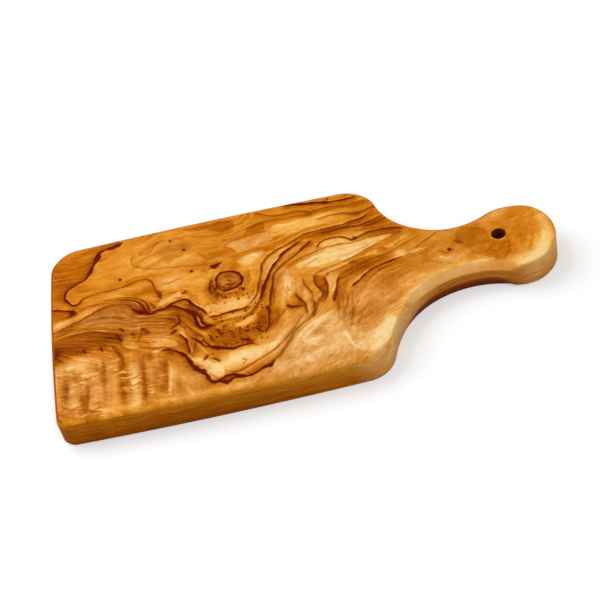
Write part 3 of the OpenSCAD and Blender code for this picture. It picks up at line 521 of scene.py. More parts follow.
        (-.08, 0, [(12, 66), (20, 67.6), (30, 68), (44, 66.6), (54, 66.6), (54, 63.6), (40, 63), (28, 64),
            (18, 62.4), (13, 62)]),
        (-.03, 0, [(6, 41), (14, 45), (24, 46), (36, 46.6), (46, 47.6), (52, 48.6), (60, 50), (66, 47),
            (60, 42.6), (50, 40.6), (40, 40), (28, 39.6), (16, 39)]),
        (-.05, 0, [(-172, 66), (-160, 72), (-150, 76), (-141, 73), (-143, 66), (-147, 57), (-150, 50),
            (-158, 46), (-165, 42), (-167, 36), (-172, 40)]),
        (-.04, .1, [(-118, 15), (-113, 17), (-108, 16), (-105, 11), (-103, 6), (-104, 2), (-108, 3),
            (-113, 5), (-116, 9)]),
        # pale arm, streams and neck
        (.15, .35, [(-27, 12), (-24, 18), (-23.4, 24), (-20, 29), (-14, 33.6), (-6, 36.6), (0, 38.6),
            (-3, 36), (-9, 32.4), (-13.6, 27), (-17.6, 21.6), (-21, 15), (-24, 9)]),
        (.11, .25, [(-19, 10), (-16, 18), (-10, 24), (-3, 28.6), (3, 32), (6, 35), (2, 36), (-4, 33),
            (-9, 29), (-13, 24), (-17, 18), (-20, 11)]),
        (.10, .3, [(-30, -8), (-27.6, -3), (-29.6, 3), (-32, 0), (-35, -5), (-38, -8), (-35, -11)]),
        (.11, .3, [(-10, 8), (-6, 8), (-4, 2), (-5, -4), (-8, -8), (-11, -2)]),
        (.10, .3, [(17.6, -1), (21, 3), (25.6, 1), (24, -5), (22, -10), (19, -14), (17.6, -9)]),
        (.13, .1, [(19, 3.4), (28, 4.6), (33, 6), (36.4, 8.6), (33, 10), (26, 8.4), (19, 7), (12, 4.6),
            (12, 2.6)]),
        (.14, .25, [(-2, 18), (6, 22), (16, 25.6), (24, 27.6), (32, 27.8), (40, 26.4), (48, 26.6),
            (58, 27.6), (68, 26.6), (60, 22.8), (50, 19), (42, 15.4), (34, 13), (26, 14), (16, 13),
            (8, 13.6), (2, 14)]),
        (.13, .15, [(16.6, 31), (18.6, 33.4), (22, 34.8), (27, 35.6), (32, 34.6), (36, 32.4), (38.6, 29.8),
            (32, 29.6), (24, 29.6)]),
        (-.09, 0, [(42, 29.4), (48, 31.4), (56, 33), (66, 32.4), (76, 30), (74, 28.8), (64, 29.4),
            (52, 29.4)]),
        (-.08, 0, [(38, 10.6), (46, 9.6), (54, 9), (60, 9.6), (56, 4), (50, 2), (42, -2), (37, -5),
            (33, -4), (36, 2), (38, 6)]),
        (-.11, 0, [(9, 0), (9.6, -5), (11.8, -9), (13, -14), (12, -18), (15.6, -15), (17, -8), (16.4, -2),
            (17, 2), (13, 4), (10, 3)]),
        (-.09, 0, [(25, -4), (28, 0), (33, 3), (37, 5), (36, -1), (33, -5), (31, -11), (29, -17), (26, -23),
            (22, -22), (22, -14)]),
        (.10, .3, [(-2, 6), (2, 4), (3, -4), (5, -11), (4, -16), (0, -14), (-3, -8), (-4, 0)]),
        (-.09, 0, [(109, 12), (114, 17), (122, 16), (129, 13), (131, 7), (131, 2), (136, -1), (141, -2),
            (143, -8), (141.6, -15), (136, -18.6), (130, -17), (124, -12), (118, -8), (114, -3), (111, 2),
            (108, 7)]),
        (.09, .15, [(-13, -22), (-8, -24), (-2, -26), (0, -30), (-4, -35), (-10, -39), (-16, -42),
            (-22, -46), (-24, -44), (-18, -36), (-15, -29)]),
        (.09, .25, [(66, 6), (69, 9.6), (73, 10), (75, 6), (72, 4.4)]),
        (.16, .25, [(78, 5.6), (84, 7.4), (90, 7), (87, 5), (80, 4.4)]),
        (.16, .2, [(48, 13.6), (54, 16), (58.6, 15.2), (54, 12.2)]),
        (.15, .2, [(58, 16.4), (66, 18.6), (73, 22), (77, 21.4), (68, 17), (62, 15.4)]),
        (.08, .25, [(95, -3.6), (99, -7), (104, -7.6), (109, -4.6), (106.6, -9.6), (101, -11), (96, -8.6)]),
        # sapwood
        (.03, .5, [(-12, -54), (-8, -48), (0, -42), (8, -37), (16, -33), (20, -30.6), (21, -40), (22, -50),
            (24, -60), (30, -70), (33, -75), (20, -77), (0, -77), (-16, -74), (-20, -66)]),
        (-.05, -.05, [(40, -30), (50, -31), (60, -34), (58, -42), (50, -48), (44, -53.4), (36, -56),
            (33, -50), (36, -42), (38, -36)]),
        (.12, .3, [(36, -57.6), (43, -55.2), (50, -49.6), (56, -47), (57, -50), (54, -58), (50, -66),
            (45, -71.6), (38, -74), (32, -72), (28, -66), (33, -64)]),
        (.0, .6, [(-62, -75), (-44, -73.4), (-30, -69), (-20, -62), (-12, -60), (-8, -68), (-6, -79),
            (-30, -80), (-60, -80)]),
        # burl
        (-.12, .1, [(-63.6, 8), (-62.4, 16), (-60, 24), (-56.6, 27), (-58.4, 20), (-58, 13), (-54, 8),
            (-50, 6), (-53, 2), (-59, 3)]),
        (.10, .2, [(-66, -4), (-58, 0), (-52, 1.6), (-46, 1), (-40, -2), (-36, -6), (-40, -9.4),
            (-48, -10.2), (-56, -11), (-63, -10.6)]),
        (.12, .35, [(-55, -49), (-50, -47), (-42, -47), (-36, -48.4), (-28, -47), (-20, -44.6),
            (-18, -47.6), (-26, -53), (-36, -58.6), (-44, -62), (-52, -63.6), (-58, -62), (-56, -56)]),
        (.18, .35, [(-79.4, -47), (-77, -45.6), (-73, -48), (-70, -50), (-66, -55), (-61, -57), (-60, -62),
            (-61, -65.6), (-66, -66), (-70, -60), (-74, -54)]),
        (-.13, 0, [(-66, -28), (-60, -25), (-52, -26), (-44, -28), (-36, -26), (-30, -21), (-27, -23),
            (-27, -30), (-30, -37), (-36, -42), (-46, -42.6), (-56, -41), (-63, -38), (-66, -33)]),
        (-.14, .1, [(-23.4, -20), (-20, -18), (-15, -21.6), (-18, -28), (-22, -33), (-27, -37.6),
            (-27.6, -34), (-24.4, -28)]),
        (-.10, .2, [(-82, -27), (-78, -25), (-74, -26), (-72, -29), (-74, -33), (-72.6, -37), (-75, -42),
            (-79.6, -44), (-81.4, -40), (-81, -34)]),
        (.15, .15, [(-47, -25), (-42, -22.6), (-37, -19), (-32.6, -14), (-28.6, -9), (-27.4, -12),
            (-29.6, -16), (-33, -20), (-37, -23.4), (-42, -27), (-46.6, -27.6)]),
        (.07, .25, [(-17, 14), (-12, 18), (-8, 18), (-7, 8), (-8, -8), (-11, -14), (-15, -16), (-20, -14),
            (-20.4, -8), (-18.6, 0)]),
        # left bands
        (-.03, 0, [(-174, -4), (-162, -3), (-150, -3.6), (-142, -6), (-134, -9), (-129, -12), (-130, -18),
            (-138, -17.6), (-146, -18), (-154, -19.6), (-164, -22), (-174, -25)]),
        (.03, .25, [(-160, 8.6), (-150, 11.6), (-142, 15), (-134, 17), (-127, 17), (-120, 13.6), (-117, 9),
            (-119, 2), (-126, 0), (-136, 1.6), (-148, 3.4), (-158, 5)]),
        (.07, .15, [(-174, 5), (-166, 8), (-156, 12), (-148, 15.6), (-140, 19), (-134, 20.6), (-140, 21.4),
            (-148, 20), (-154, 17), (-162, 15.4), (-174, 13)]),
        (.13, .3, [(-100, 10), (-96, 13.6), (-90, 15), (-84, 17), (-80, 14), (-86, 11.6), (-92, 10),
            (-98, 7.6)]),
        (.03, .25, [(-104, 33), (-98, 35), (-90, 33), (-84, 29), (-80, 25), (-86, 21), (-93, 23),
            (-98, 27)]),
        (.10, .4, [(-109, -22), (-104, -20), (-98, -22), (-92, -26), (-88, -31), (-93, -32), (-99, -30.4),
            (-106, -27)]),
        (.14, .35, [(-125.4, -14), (-121, -12.8), (-118, -15), (-119.6, -17.8), (-124, -17.2)]),
        (.10, .3, [(-127, -18), (-122, -17), (-117, -21), (-116, -26), (-121, -26), (-125, -22)]),
        (-.11, 0, [(-113, -33), (-107, -34), (-102, -34.4), (-100.4, -38), (-104, -40), (-110, -39),
            (-113, -37)]),
        (-.06, -.1, [(-175, -9), (-168, -10.4), (-160, -12.4), (-152, -14), (-145, -14.6), (-138, -16),
            (-134, -19), (-137, -21), (-140, -21.8), (-145, -20), (-149, -21.4), (-152, -20.2),
            (-157, -20.6), (-162, -22.6), (-168, -24.8), (-175, -27)]),
        # curl: partly the wood's figure, partly painted sheen of its shimmer
        (-.04, -.25, [(-131, -44), (-127.6, -31), (-124.6, -34), (-123.6, -52), (-124.4, -66), (-127, -71),
            (-131, -66), (-131.6, -54)]),
        (-.11, 0, [(-114.4, -34), (-112, -34), (-111.4, -52), (-112, -70), (-114.4, -72), (-114, -54)]),
        (-.11, 0, [(-103, -38), (-97, -40), (-96, -50), (-96.6, -62), (-99, -72), (-102, -66),
            (-100.6, -54)]),
        (-.10, 0, [(-154.6, -52), (-150, -50), (-149.6, -60), (-150, -68), (-146, -74), (-153, -75),
            (-156, -66)]),
        (-.10, 0, [(-168, -42), (-163.6, -40), (-163, -54), (-165, -62), (-168.6, -56)]),
        (-.08, 0, [(-141, -34), (-137.6, -36), (-138, -46), (-140, -56), (-142, -48)]),
        (.10, .2, [(-174, -28), (-166, -25), (-158, -22.6), (-152, -25), (-146, -27), (-140, -32),
            (-146, -36), (-154, -36.6), (-162, -34.6), (-174, -36)]),
        (.03, .2, [(-122.4, -40), (-116, -38), (-115, -56), (-116, -74), (-122.6, -76), (-122, -58)]),
        (.06, .2, [(-96.4, -44), (-94, -43), (-94.2, -56), (-94.6, -66), (-98, -76), (-96.4, -60)]),
    ],
    # broad strokes: tone, half width, points
    "shades": [
        # most strokes down to the one along (-92, -58) are the curl's dark and pale bars: partly figure,
        # partly painted sheen
        (-.08, 3.6, [(-126.6, -33), (-127, -50), (-127.4, -69)]),
        (-.16, 1.6, [(-139.4, -26), (-139, -50), (-139.4, -72)]),
        (-.14, 1.7, [(-113, -33), (-112.6, -52), (-113.2, -74)]),
        (-.10, 2.2, [(-98.6, -40), (-98, -56), (-98.6, -71)]),
        (-.12, 2.4, [(-104.6, -36), (-103.4, -55), (-104, -72)]),
        (-.22, 1.5, [(-151.4, -44), (-150.6, -58), (-152, -71)]),
        (-.16, 2.0, [(-155.6, -52), (-154.4, -63), (-155, -72)]),
        (-.14, 2.6, [(-165.4, -40), (-165.6, -52), (-166.2, -63)]),
        (.08, 2.8, [(-119.6, -37), (-118.6, -55), (-119.6, -77)]),
        (.16, 1.6, [(-94.4, -44), (-95, -56), (-96.4, -66), (-98, -77)]),
        (.07, 2.0, [(-91.6, -44), (-92, -54), (-92.6, -62)]),
        (-.12, 3.2, [(-112, -34), (-107, -35.4), (-101, -37.6)]),
        (.14, 1.4, [(-86, -66), (-84, -72), (-82, -78)]),
        (-.08, 1.6, [(-89, -60), (-90, -68), (-90.6, -77)]),
        (.10, 2.2, [(-145, -40), (-144.4, -55), (-145.4, -70)]),
        (.08, 1.8, [(-133.4, -40), (-132.8, -56), (-133.4, -73)]),
        (.10, 1.8, [(-108.4, -40), (-107.8, -56), (-108.2, -73)]),
        (.16, 1.5, [(-174, -30), (-162, -30.6), (-150, -34)]),
        (.12, 1.4, [(-168, -36), (-158, -38), (-146, -39)]),
        (.24, 1.2, [(-165, -65.6), (-160, -64), (-154.6, -64.6)]),
        (.14, 2.4, [(-146, -73), (-130, -75), (-112, -73.6)]),
        (.16, 1.1, [(-162, -24.6), (-155, -26), (-146, -30)]),
        (.13, 2.2, [(-112, -75), (-90, -77), (-66, -77), (-40, -77.6)]),
        (.12, 1.2, [(-92, -58), (-86, -62), (-80, -70)]),
        (.22, 1.0, [(-114.4, -5), (-114, -11), (-115, -17)]),
        (.18, 1.0, [(-148, -.4), (-141, -2.8), (-135, -5.2), (-131, -7.6)]),
        (.18, .9, [(-123, 17.8), (-117.4, 17.4), (-114.6, 13.6)]),
        (.16, .8, [(-109, 15), (-107.6, 11), (-107, 7)]),
        (.24, .9, [(-72.8, -8), (-72.2, -12), (-71.8, -16), (-70.2, -18.8)]),
        (.20, 1.2, [(-85, -2.6), (-80.6, -6.2), (-77.4, -10), (-76, -15), (-75.4, -19)]),
        (.30, .9, [(-78.6, -28.4), (-75.6, -33), (-73, -38), (-70.4, -42.6), (-68.6, -46)]),
        (.22, .9, [(-75, -21.4), (-71.8, -24.6), (-68.6, -27), (-66.8, -30.6)]),
        (.16, .8, [(-80, -34), (-79.4, -39), (-80, -44)]),
        (.18, 1.0, [(-14.6, -1), (-13, -6), (-11.6, -12)]),
        (.44, 1.1, [(-10, -50), (-6, -44.6), (2, -39), (10, -35), (20.4, -29.6)]),
        (.30, 1.0, [(-6, -50.4), (0, -44.6), (8, -39), (18, -34)]),
        (.30, 1.0, [(21, -47), (23.4, -56), (25.4, -63), (29, -70)]),
        (-.15, 1.5, [(31.8, -30), (30.4, -37), (28.6, -45)]),
        (-.10, 1.4, [(36.4, -35), (33.6, -43), (31, -51)]),
        (-.10, 1.5, [(20.6, -22), (22, -30), (23, -38)]),
        (.16, .8, [(28, -76), (36, -75.6), (46, -71.6)]), (.30, 1.1, [(-6.6, -51), (-3, -54), (0, -55)]),
        (.26, 1.0, [(-3, -54.6), (1, -52.4), (5, -53.6)]), (.14, 1.2, [(-6, -62), (-4, -68), (2, -72)]),
        (.12, 1.0, [(34, -26), (42, -22), (50, -21)]),
        (.12, .9, [(48, -5.6), (56, -7.6), (66, -9)]), (.14, 1.0, [(60, -22), (68, -22.6), (76, -25)]),
        (.12, 1.0, [(64, -30), (72, -29), (80, -25)]), (.16, 1.1, [(60, 16), (66, 17), (72, 19.6)]),
        (.14, 1.4, [(50, 12.6), (54, 13.6), (58, 15)]), (.16, 1.3, [(74, 5.8), (82, 6.2), (89, 7)]),
        (.2, 2.4, [(141, -26), (152, -25), (162, -19), (169, -9)]),
        (.12, 1.0, [(150, -18), (155, -8), (158, 2)]), (.12, .8, [(155, -20), (160, -8), (163, 2)]),
        (.10, .8, [(160, -18), (165, -8), (167, 2)]), (.08, 1.0, [(146, -14), (149, -4), (150.6, 6)]),
        (.16, .8, [(95, -4), (100, -8), (104, -13)]), (.16, .8, [(104, -16), (107.6, -9), (112, -5)]),
        (.14, 1.0, [(92, 2), (96, -4.6), (102, -7), (108, -4.6)]),
        (.12, 1.4, [(112, -17), (120, -16), (128, -18)]), (-.12, 1.0, [(82, -4), (90, -7), (97, -12)]),
        (-.14, .8, [(-64, 37.4), (-50, 38), (-36, 40)]),
    ],
    # soft ovals: x, y, half length, half width, turn in degrees, tone, sapwood
    "patches": [
        (-163, 60, 13, 17, 0, -.08, 0), (-168, 40, 8, 14, 0, -.06, 0), (-128, 57, 14, 12, 0, .03, 0),
        (-112, 54, 12, 9, 0, .05, 0), (-84, 62, 12, 8, 0, .0, .2), (-95, 56, 34, 16, 0, .05, .1),
        (-78, 45, 20, 5, -8, .02, .3),
        (-48, 71, 9, 4.5, 0, -.05, 0), (-3, 56, 12, 5.5, 5, .11, 0), (-35, 50, 14, 4, 0, .08, .3),
        (-31.5, 33, 6.5, 3.6, 32, .14, .2), (-55, 47, 8, 6, 0, -.02, 0), (31, 20, 22, 6.5, 13, .24, .2),
        (12, 21, 8, 6, 30, .06, .3), (48, 24, 12, 3, 14, .06, .1), (26, 32.6, 8, 2.2, -4, .08, .1),
        (40, 62, 18, 5, 0, -.04, 0), (20, 57, 16, 5, 4, .12, 0), (12, 66, 10, 3, 0, -.08, 0),
        (54, 54, 10, 9, 20, -.09, 0), (36, 43.5, 26, 3.6, 4, -.05, 0), (58, 39, 12, 5, -12, -.11, 0),
        (62, 31, 14, 2.4, -4, -.10, 0),
        (52, 6, 14, 4.4, 10, -.10, 0), (40, 1, 7, 6, 40, -.10, 0), (20, -3, 9, 6, 60, .0, .1),
        (27, -28, 5, 13, 0, .04, .4), (62, 18, 9, 3, 20, -.06, 0), (14, -56, 34, 22, 0, .10, .95),
        (46, -34, 20, 20, 0, .0, .65),
        (49, -58, 5.5, 15, -32, .22, .9), (26, 27, 24, 6, 22, .10, .25), (100, 2, 30, 16, 0, .05, .2),
        (38, 44, 26, 9, 4, .06, 0), (14, 60, 20, 6, 4, .06, 0), (-2, -60, 9, 7, 0, .08, .3),
        (36, -62, 9, 9, 0, .08, .2), (58, -14, 12, 9, 20, -.14, .1), (44, -20, 10, 8, 30, .02, .4),
        (34, -46, 7, 9, 0, -.06, .1),
        (-152, -50, 26, 20, 0, .06, .75), (-112, -54, 18, 20, 0, .0, .5), (-84, -64, 15, 15, 0, .03, .6),
        (-155, -12, 24, 6.5, 0, -.20, 0), (-128, -14, 13, 6, -16, -.11, .1), (-173, -17, 6, 9, 0, -.13, 0),
        (-140, 8, 26, 6, 4, -.13, .6), (-112, -4, 18, 8, -12, -.02, .5), (-158, 14, 14, 2.6, 14, .08, .1),
        (-166, 10, 9, 2.6, 10, .12, .1), (-150, 20.6, 8, 1.6, 8, .0, 0), (-107, 6, 6, 4, -20, -.08, 0),
        (-122, 29, 16, 3, 4, .10, .1), (-105, 25, 5, 5, 0, -.10, 0), (-84, 22, 10, 9, 0, .06, 0),
        (-70, 20, 6, 14, 0, .10, 0), (-94, 11, 7, 2.6, 14, .10, .2), (-88, 28, 9, 5, 0, .10, .3),
        (-48, 17, 7, 6, 0, -.06, .7), (-60.5, 12, 3.6, 8, 0, -.16, .1), (-55, 4, 5, 4, 0, -.12, .2),
        (-47, -5, 11, 4, 0, .17, .15), (-47, -15.6, 9, 1.8, 2, .22, .1), (-42, -24, 9, 2.6, 18, .16, 0),
        (-50, -33, 12, 7, 0, -.06, 0), (-30, -25, 3.6, 9, 0, -.16, 0), (-33, -9, 3, 6, -35, -.06, 0),
        (-44, -55, 17, 5, 8, .26, .2), (-71, -48, 5, 5, -40, .12, .3), (-61, -57, 5, 6, 0, .16, .2),
        (-66, -48, 6, 4, 0, -.08, .2), (-22, -46, 9, 2.6, 38, .14, .1), (-12, 0, 5, 14, 0, .06, .2),
        (-4, 10, 6, 8, 40, .04, .2), (-16, -34, 8, 5, 30, -.02, 0), (-22, -32, 4, 3.4, 20, -.06, 0),
        (-12, -20, 7, 6, 20, -.02, 0), (-86, -6, 10, 6, -42, -.12, 0), (-75, -13, 3.4, 10, 20, -.10, 0),
        (-70, 2, 3.4, 6, 30, .06, .1), (-94, -21, 10, 6, -20, .06, .3), (-84, -36, 3, 8, 36, -.08, .1),
        (-78, -36, 4, 6, 30, -.06, .2), (90, -4, 18, 11, 0, -.10, 0), (120, 8, 9, 8, 0, -.10, 0),
        (136, -8, 8, 8, 0, -.06, 0), (150, 8, 12, 14, 0, -.02, 0), (104, -8, 6, 4, 0, .08, .3),
        # the long pale oval at (107, -18) is a painted highlight along the top edge of the near neck bevel
        (107, -18, 26, 3.4, 0, .16, .5), (58, -21, 17, 12, -25, .07, .42), (86, -15, 20, 8, -4, .06, .40),
        (24, 8, 16, 6, 15, .07, .15), (76, -31, 13, 5, 33, .18, .6), (164, -13, 4.4, 10, -28, .34, .15),
        (150, -23, 14, 4, 10, .30, .35), (169, 6, 3.4, 12, 4, .18, .3), (140, 24, 18, 3, 12, .06, .4),
        (68.6, 7, 4, 3, 0, .22, .4),
    ],
}


# A smooth curve through points: each span is the cubic whose end slopes are half the chord between its
# neighbours. It is sampled about every step, and every column is carried along
def smoothPath(points, step):
    p = np.array(points, float)
    closed = np.hypot(*(p[0, :2] - p[-1, :2])) < 1e-6
    before, after = (p[-2:-1], p[1:2]) if closed else (2 * p[:1] - p[1:2], 2 * p[-1:] - p[-2:-1])
    q = np.vstack([before, p, after])
    spans = np.maximum(np.ceil(np.hypot(*np.diff(p[:, :2], axis=0).T) / step).astype(int), 1)
    i = np.repeat(np.arange(len(spans)), spans)
    f = ((np.arange(len(i)) - np.repeat(np.cumsum(spans) - spans, spans)) / spans[i])[:, None]
    a, b, c, d = q[i], q[i + 1], q[i + 2], q[i + 3]
    bend, twist = 2 * a - 5 * b + 4 * c - d, 3 * b - a - 3 * c + d
    curve = 0.5 * (2 * b + (c - a) * f + bend * f ** 2 + twist * f ** 3)
    return np.vstack([curve, p[-1:]]), closed


# Signed distance from places to a path, positive on its left, and where along the path's points that is
def besidePath(places, path):
    a, run = path[:-1, :2], np.diff(path[:, :2], axis=0)
    size = np.maximum((run ** 2).sum(1), 1e-9)
    rel = places[:, None] - a
    f = np.clip((rel * run).sum(2) / size, 0, 1)
    gap = rel - f[..., None] * run
    dist = (gap ** 2).sum(2)
    near = dist.argmin(1)
    rows = np.arange(len(places))
    side = np.sign(run[near, 0] * rel[rows, near, 1] - run[near, 1] * rel[rows, near, 0])
    return np.sqrt(dist[rows, near]) * np.where(side == 0, 1, side), near + f[rows, near]


# The least distance between the points of two paths
def leastGap(a, b):
    return np.hypot(*(a[:, None, :2] - b[None, :, :2]).transpose(2, 0, 1)).min()


# Which way the wood grows: a cubic spline sheet over the board whose slope is nil along the veins and one
# across them, solved by least squares with a small pull towards evenness
def growthSheet(paths, places, h):
    halfX, halfY = 186.0, 96.0   # the sheet reaches a little past the board
    x0, y0, nx, ny = -halfX, -halfY, int(2 * halfX / h) + 4, int(2 * halfY / h) + 4
    alongVein, acrossVein, acrossBoard, alongBoard, even = 1.0, .3, .10, .06, .05   # weights of the wishes

    def weights(f):
        inner = [3 * f ** 3 - 6 * f ** 2 + 4, -3 * f ** 3 + 3 * f ** 2 + 3 * f + 1]
        return np.stack([(1 - f) ** 3, *inner, f ** 3], -1) / 6

    def slopes(f):
        return np.stack([-(1 - f) ** 2, 3 * f ** 2 - 4 * f, -3 * f ** 2 + 2 * f + 1, f ** 2], -1) / 2

    def cells(p):
        s = (p - [x0, y0]) / h
        i = np.clip(s.astype(int), 0, [nx - 4, ny - 4])
        o = np.arange(4)
        ids = (i[:, 0, None] + o)[:, :, None] * ny + (i[:, 1, None] + o)[:, None, :]
        return ids.reshape(-1, 16), s - i

    many = nx * ny
    square, target = np.zeros(many * many), np.zeros(many)

    def addRows(ids, c, value, weight):   # rows of the least squares, summed into its square matrix
        nonlocal square, target
        pairs = (ids[:, :, None] * many + ids[:, None, :]).ravel()
        square += np.bincount(pairs, (weight ** 2 * c[:, :, None] * c[:, None, :]).ravel(), many * many)
        target += np.bincount(ids.ravel(), (weight ** 2 * value * c).ravel(), many)

    def addSlopes(p, way, value, weight):   # slope along a direction, at places, set to a value
        ids, f = cells(p)
        wx, wy, sx, sy = weights(f[:, 0]), weights(f[:, 1]), slopes(f[:, 0]) / h, slopes(f[:, 1]) / h
        c = way[:, 0, None, None] * sx[:, :, None] * wy[:, None, :]
        c = c + way[:, 1, None, None] * wx[:, :, None] * sy[:, None, :]
        addRows(ids, c.reshape(-1, 16), value, weight)

    mids = np.vstack([(p[1:, :2] + p[:-1, :2]) / 2 for p in paths])
    ways = np.vstack([np.diff(p[:, :2], axis=0) for p in paths])
    ways = ways / np.hypot(ways[:, 0], ways[:, 1])[:, None]
    gx, gy = np.meshgrid(np.arange(-170, 171, 10.0), np.arange(-80, 81, 10.0))
    evenly = np.c_[gx.ravel(), gy.ravel()]
    one = np.ones(len(evenly))
    inner = np.arange(many).reshape(nx, ny)[1:-1, 1:-1].ravel()
    addSlopes(mids, ways, 0, alongVein)
    addSlopes(mids, np.c_[-ways[:, 1], ways[:, 0]], 1, acrossVein)
    addSlopes(evenly, np.c_[0 * one, one], 1, acrossBoard)
    addSlopes(evenly, np.c_[one, 0 * one], 0, alongBoard)
    addRows(inner[:, None] + [0, 1, -1, ny, -ny], np.tile([-4.0, 1, 1, 1, 1], (len(inner), 1)), 0, even)
    sheet = np.linalg.solve(square.reshape(many, many) + np.eye(many) * 1e-8, target)
    ids, f = cells(places)
    return (sheet[ids] * (weights(f[:, 0])[:, :, None] * weights(f[:, 1])[:, None, :]).reshape(-1, 16)).sum(1)


# The figure at every point of the board: growth sheet, tone, sapwood, burl, curl, spots, and the veins in
# layers, so that near neighbours don't share one. Each layer holds signed distance, half width and depth
def figureAt(fig, verts, thick):
    layers, reach = fig["veinLayers"], fig["veinReach"]
    deep = (thick - verts[:, 2:3]) / thick
    places = verts[:, :2] + deep * fig["drift"]
    out = {"tone": np.full(len(places), fig["tone"])}
    out["sap"], out["halo"] = np.zeros(len(places)), np.zeros(len(places))
    veins = np.zeros((layers, len(places), 3))
    veins[:, :, 0] = reach
    taken = [[] for _ in range(layers)]
    flows = []
    for name, depth, points, side in fig["veins"]:
        path, closed = smoothPath(points, fig["pathStep"])
        if side in (1, 2):
            flows.append(smoothPath(points, fig["flowStep"])[0])
        # the layer whose veins are farthest off, the first of them where several are clear by 30 mm
        gaps = [min((leastGap(path, q) for q in t), default=99) for t in taken]
        layer = int(np.argmax(np.minimum(gaps, 30) - .01 * np.arange(layers)))
        taken[layer].append(path)
        lo, hi = path[:, :2].min(0) - reach, path[:, :2].max(0) + reach
        idx = np.nonzero(((places > lo) & (places < hi)).all(1))[0]
        d, at = besidePath(places[idx], path)
        length = np.r_[0, np.cumsum(np.hypot(*np.diff(path[:, :2], axis=0).T))]
        here = np.interp(at, np.arange(len(path)), length)
        width = np.interp(at, np.arange(len(path)), path[:, 2])
        ends = np.minimum(here, length[-1] - here) / fig["veinTip"]
        tip = np.ones(len(idx)) if closed else np.clip(ends, 0, 1)
        off = np.maximum(np.abs(d) - width, 0)
        k = depth * tip * np.clip(1.6 - off / 2.0, 0, 1)
        nearer = np.abs(d) < np.abs(veins[layer, idx, 0])
        if side in (2, 4):
            d = -d
        veins[layer, idx[nearer]] = np.c_[d, width * tip * (1 if side else -1), k][nearer]
        if side:   # darker on one side of the line, a little paler on the other
            lean = np.where(d < 0, -.10 * np.exp(-off / 3.6), .06 * np.exp(-off / 2.4))
            out["tone"][idx] += depth * tip * np.clip(width / .6, .5, 1.2) * lean
        halo = depth * tip * np.clip(width / 0.9, .3, 1.4) * np.exp(-off / 2.2)
        out["halo"][idx] = np.maximum(out["halo"][idx], halo)
    for k in range(layers):
        out["vein%d" % k] = veins[k]
    for tone, width, points in fig["shades"]:
        path, _ = smoothPath(points, fig["flowStep"])
        d, at = besidePath(places, path)
        ends = np.clip(np.minimum(at, len(path) - 1 - at) / 2.0, 0, 1)
        out["tone"] += tone * np.exp(-(d / width) ** 2) * ends
    for x, y, rx, ry, turn, tone, sap in fig["patches"]:
        c, s = math.cos(math.radians(turn)), math.sin(math.radians(turn))
        px, py = places[:, 0] - x, places[:, 1] - y
        g = np.exp(-0.5 * (((px * c + py * s) / rx) ** 2 + ((py * c - px * s) / ry) ** 2) ** 1.4)
        out["tone"] += tone * g
        out["sap"] = np.maximum(out["sap"], sap * g)
    # zones lie in layers too, each in the one with least in its way: signed distance (inside below 0), tone,
    # sapwood; whether a place is inside is told by how often a line to its right crosses the edge
    zones = np.zeros((fig["zoneLayers"], len(places), 3))
    zones[:, :, 0] = reach
    for tone, sap, points in fig["zones"]:
        path = smoothPath(points + points[:1], fig["zoneStep"])[0]
        lo, hi = path.min(0) - fig["zoneReach"], path.max(0) + fig["zoneReach"]
        idx = np.nonzero(((places > lo) & (places < hi)).all(1))[0]
        d = np.abs(besidePath(places[idx], path)[0])
        a, b, p = path[:-1], path[1:], places[idx, None]
        over = (a[:, 1] > p[..., 1]) != (b[:, 1] > p[..., 1])
        climb = np.where(a[:, 1] == b[:, 1], 1, b[:, 1] - a[:, 1])
        cross = a[:, 0] + (p[..., 1] - a[:, 1]) * (b[:, 0] - a[:, 0]) / climb
        d = np.where((over & (cross > p[..., 0])).sum(1) % 2 == 1, -d, d)
        idx, d = idx[d < fig["zoneFade"]], d[d < fig["zoneFade"]]
        layer = int(np.argmin([(z[idx, 0] < reach).sum() for z in zones]))
        nearer = d < zones[layer, idx, 0]
        zones[layer, idx[nearer]] = np.c_[d, np.full(len(d), tone), np.full(len(d), sap)][nearer]
    for k, zone in enumerate(zones):
        out["zone%d" % k] = zone
    spots = np.array(fig["spots"])
    near = np.hypot(places[:, 0, None] - spots[:, 0], places[:, 1, None] - spots[:, 1]) - spots[:, 2]
    out["spot"] = near.min(1).clip(-3, 6)
    fromBurl = (places - fig["burl"]["centre"]) / fig["burl"]["half"]
    out["burl"] = np.exp(-(fromBurl[:, 0] ** 2 + fromBurl[:, 1] ** 2) ** 1.5)
    c = fig["curl"]
    left = np.clip((c["x"] - places[:, 0] + (places[:, 1] - c["slantFrom"]) * c["slant"]) / c["fadeX"], 0, 1)
    out["curl"] = left * np.clip((c["y"] - places[:, 1]) / c["fadeY"], 0, 1)
    out["growth"] = growthSheet(flows, places, fig["flowGrid"]) + fig["ringTilt"] * thick * deep[:, 0]
    out["pale"] = np.clip((verts[:, 0] - fig["paleFrom"]) / fig["paleOver"], 0, 1)
    return out


def addAttributes(mesh, values):   # one named value or vector per point, for the material
    for name, v in values.items():
        kind, field = ("FLOAT_VECTOR", "vector") if v.ndim == 2 else ("FLOAT", "value")
        layer = mesh.attributes.new(name, kind, "POINT")
        layer.data.foreach_set(field, v.astype(np.float32).ravel())


def makeMesh(name, verts, faces):
    mesh = bpy.data.meshes.new(name)
    mesh.vertices.add(len(verts))
    mesh.vertices.foreach_set("co", verts.astype(np.float32).ravel())
    mesh.loops.add(faces.size)
    mesh.loops.foreach_set("vertex_index", faces.astype(np.int32).ravel())
    mesh.polygons.add(len(faces))
    mesh.polygons.foreach_set("loop_start", np.arange(0, faces.size, faces.shape[1], dtype=np.int32))
    mesh.update(calc_edges=True)
    mesh.validate()
    mesh.shade_smooth()
    return mesh


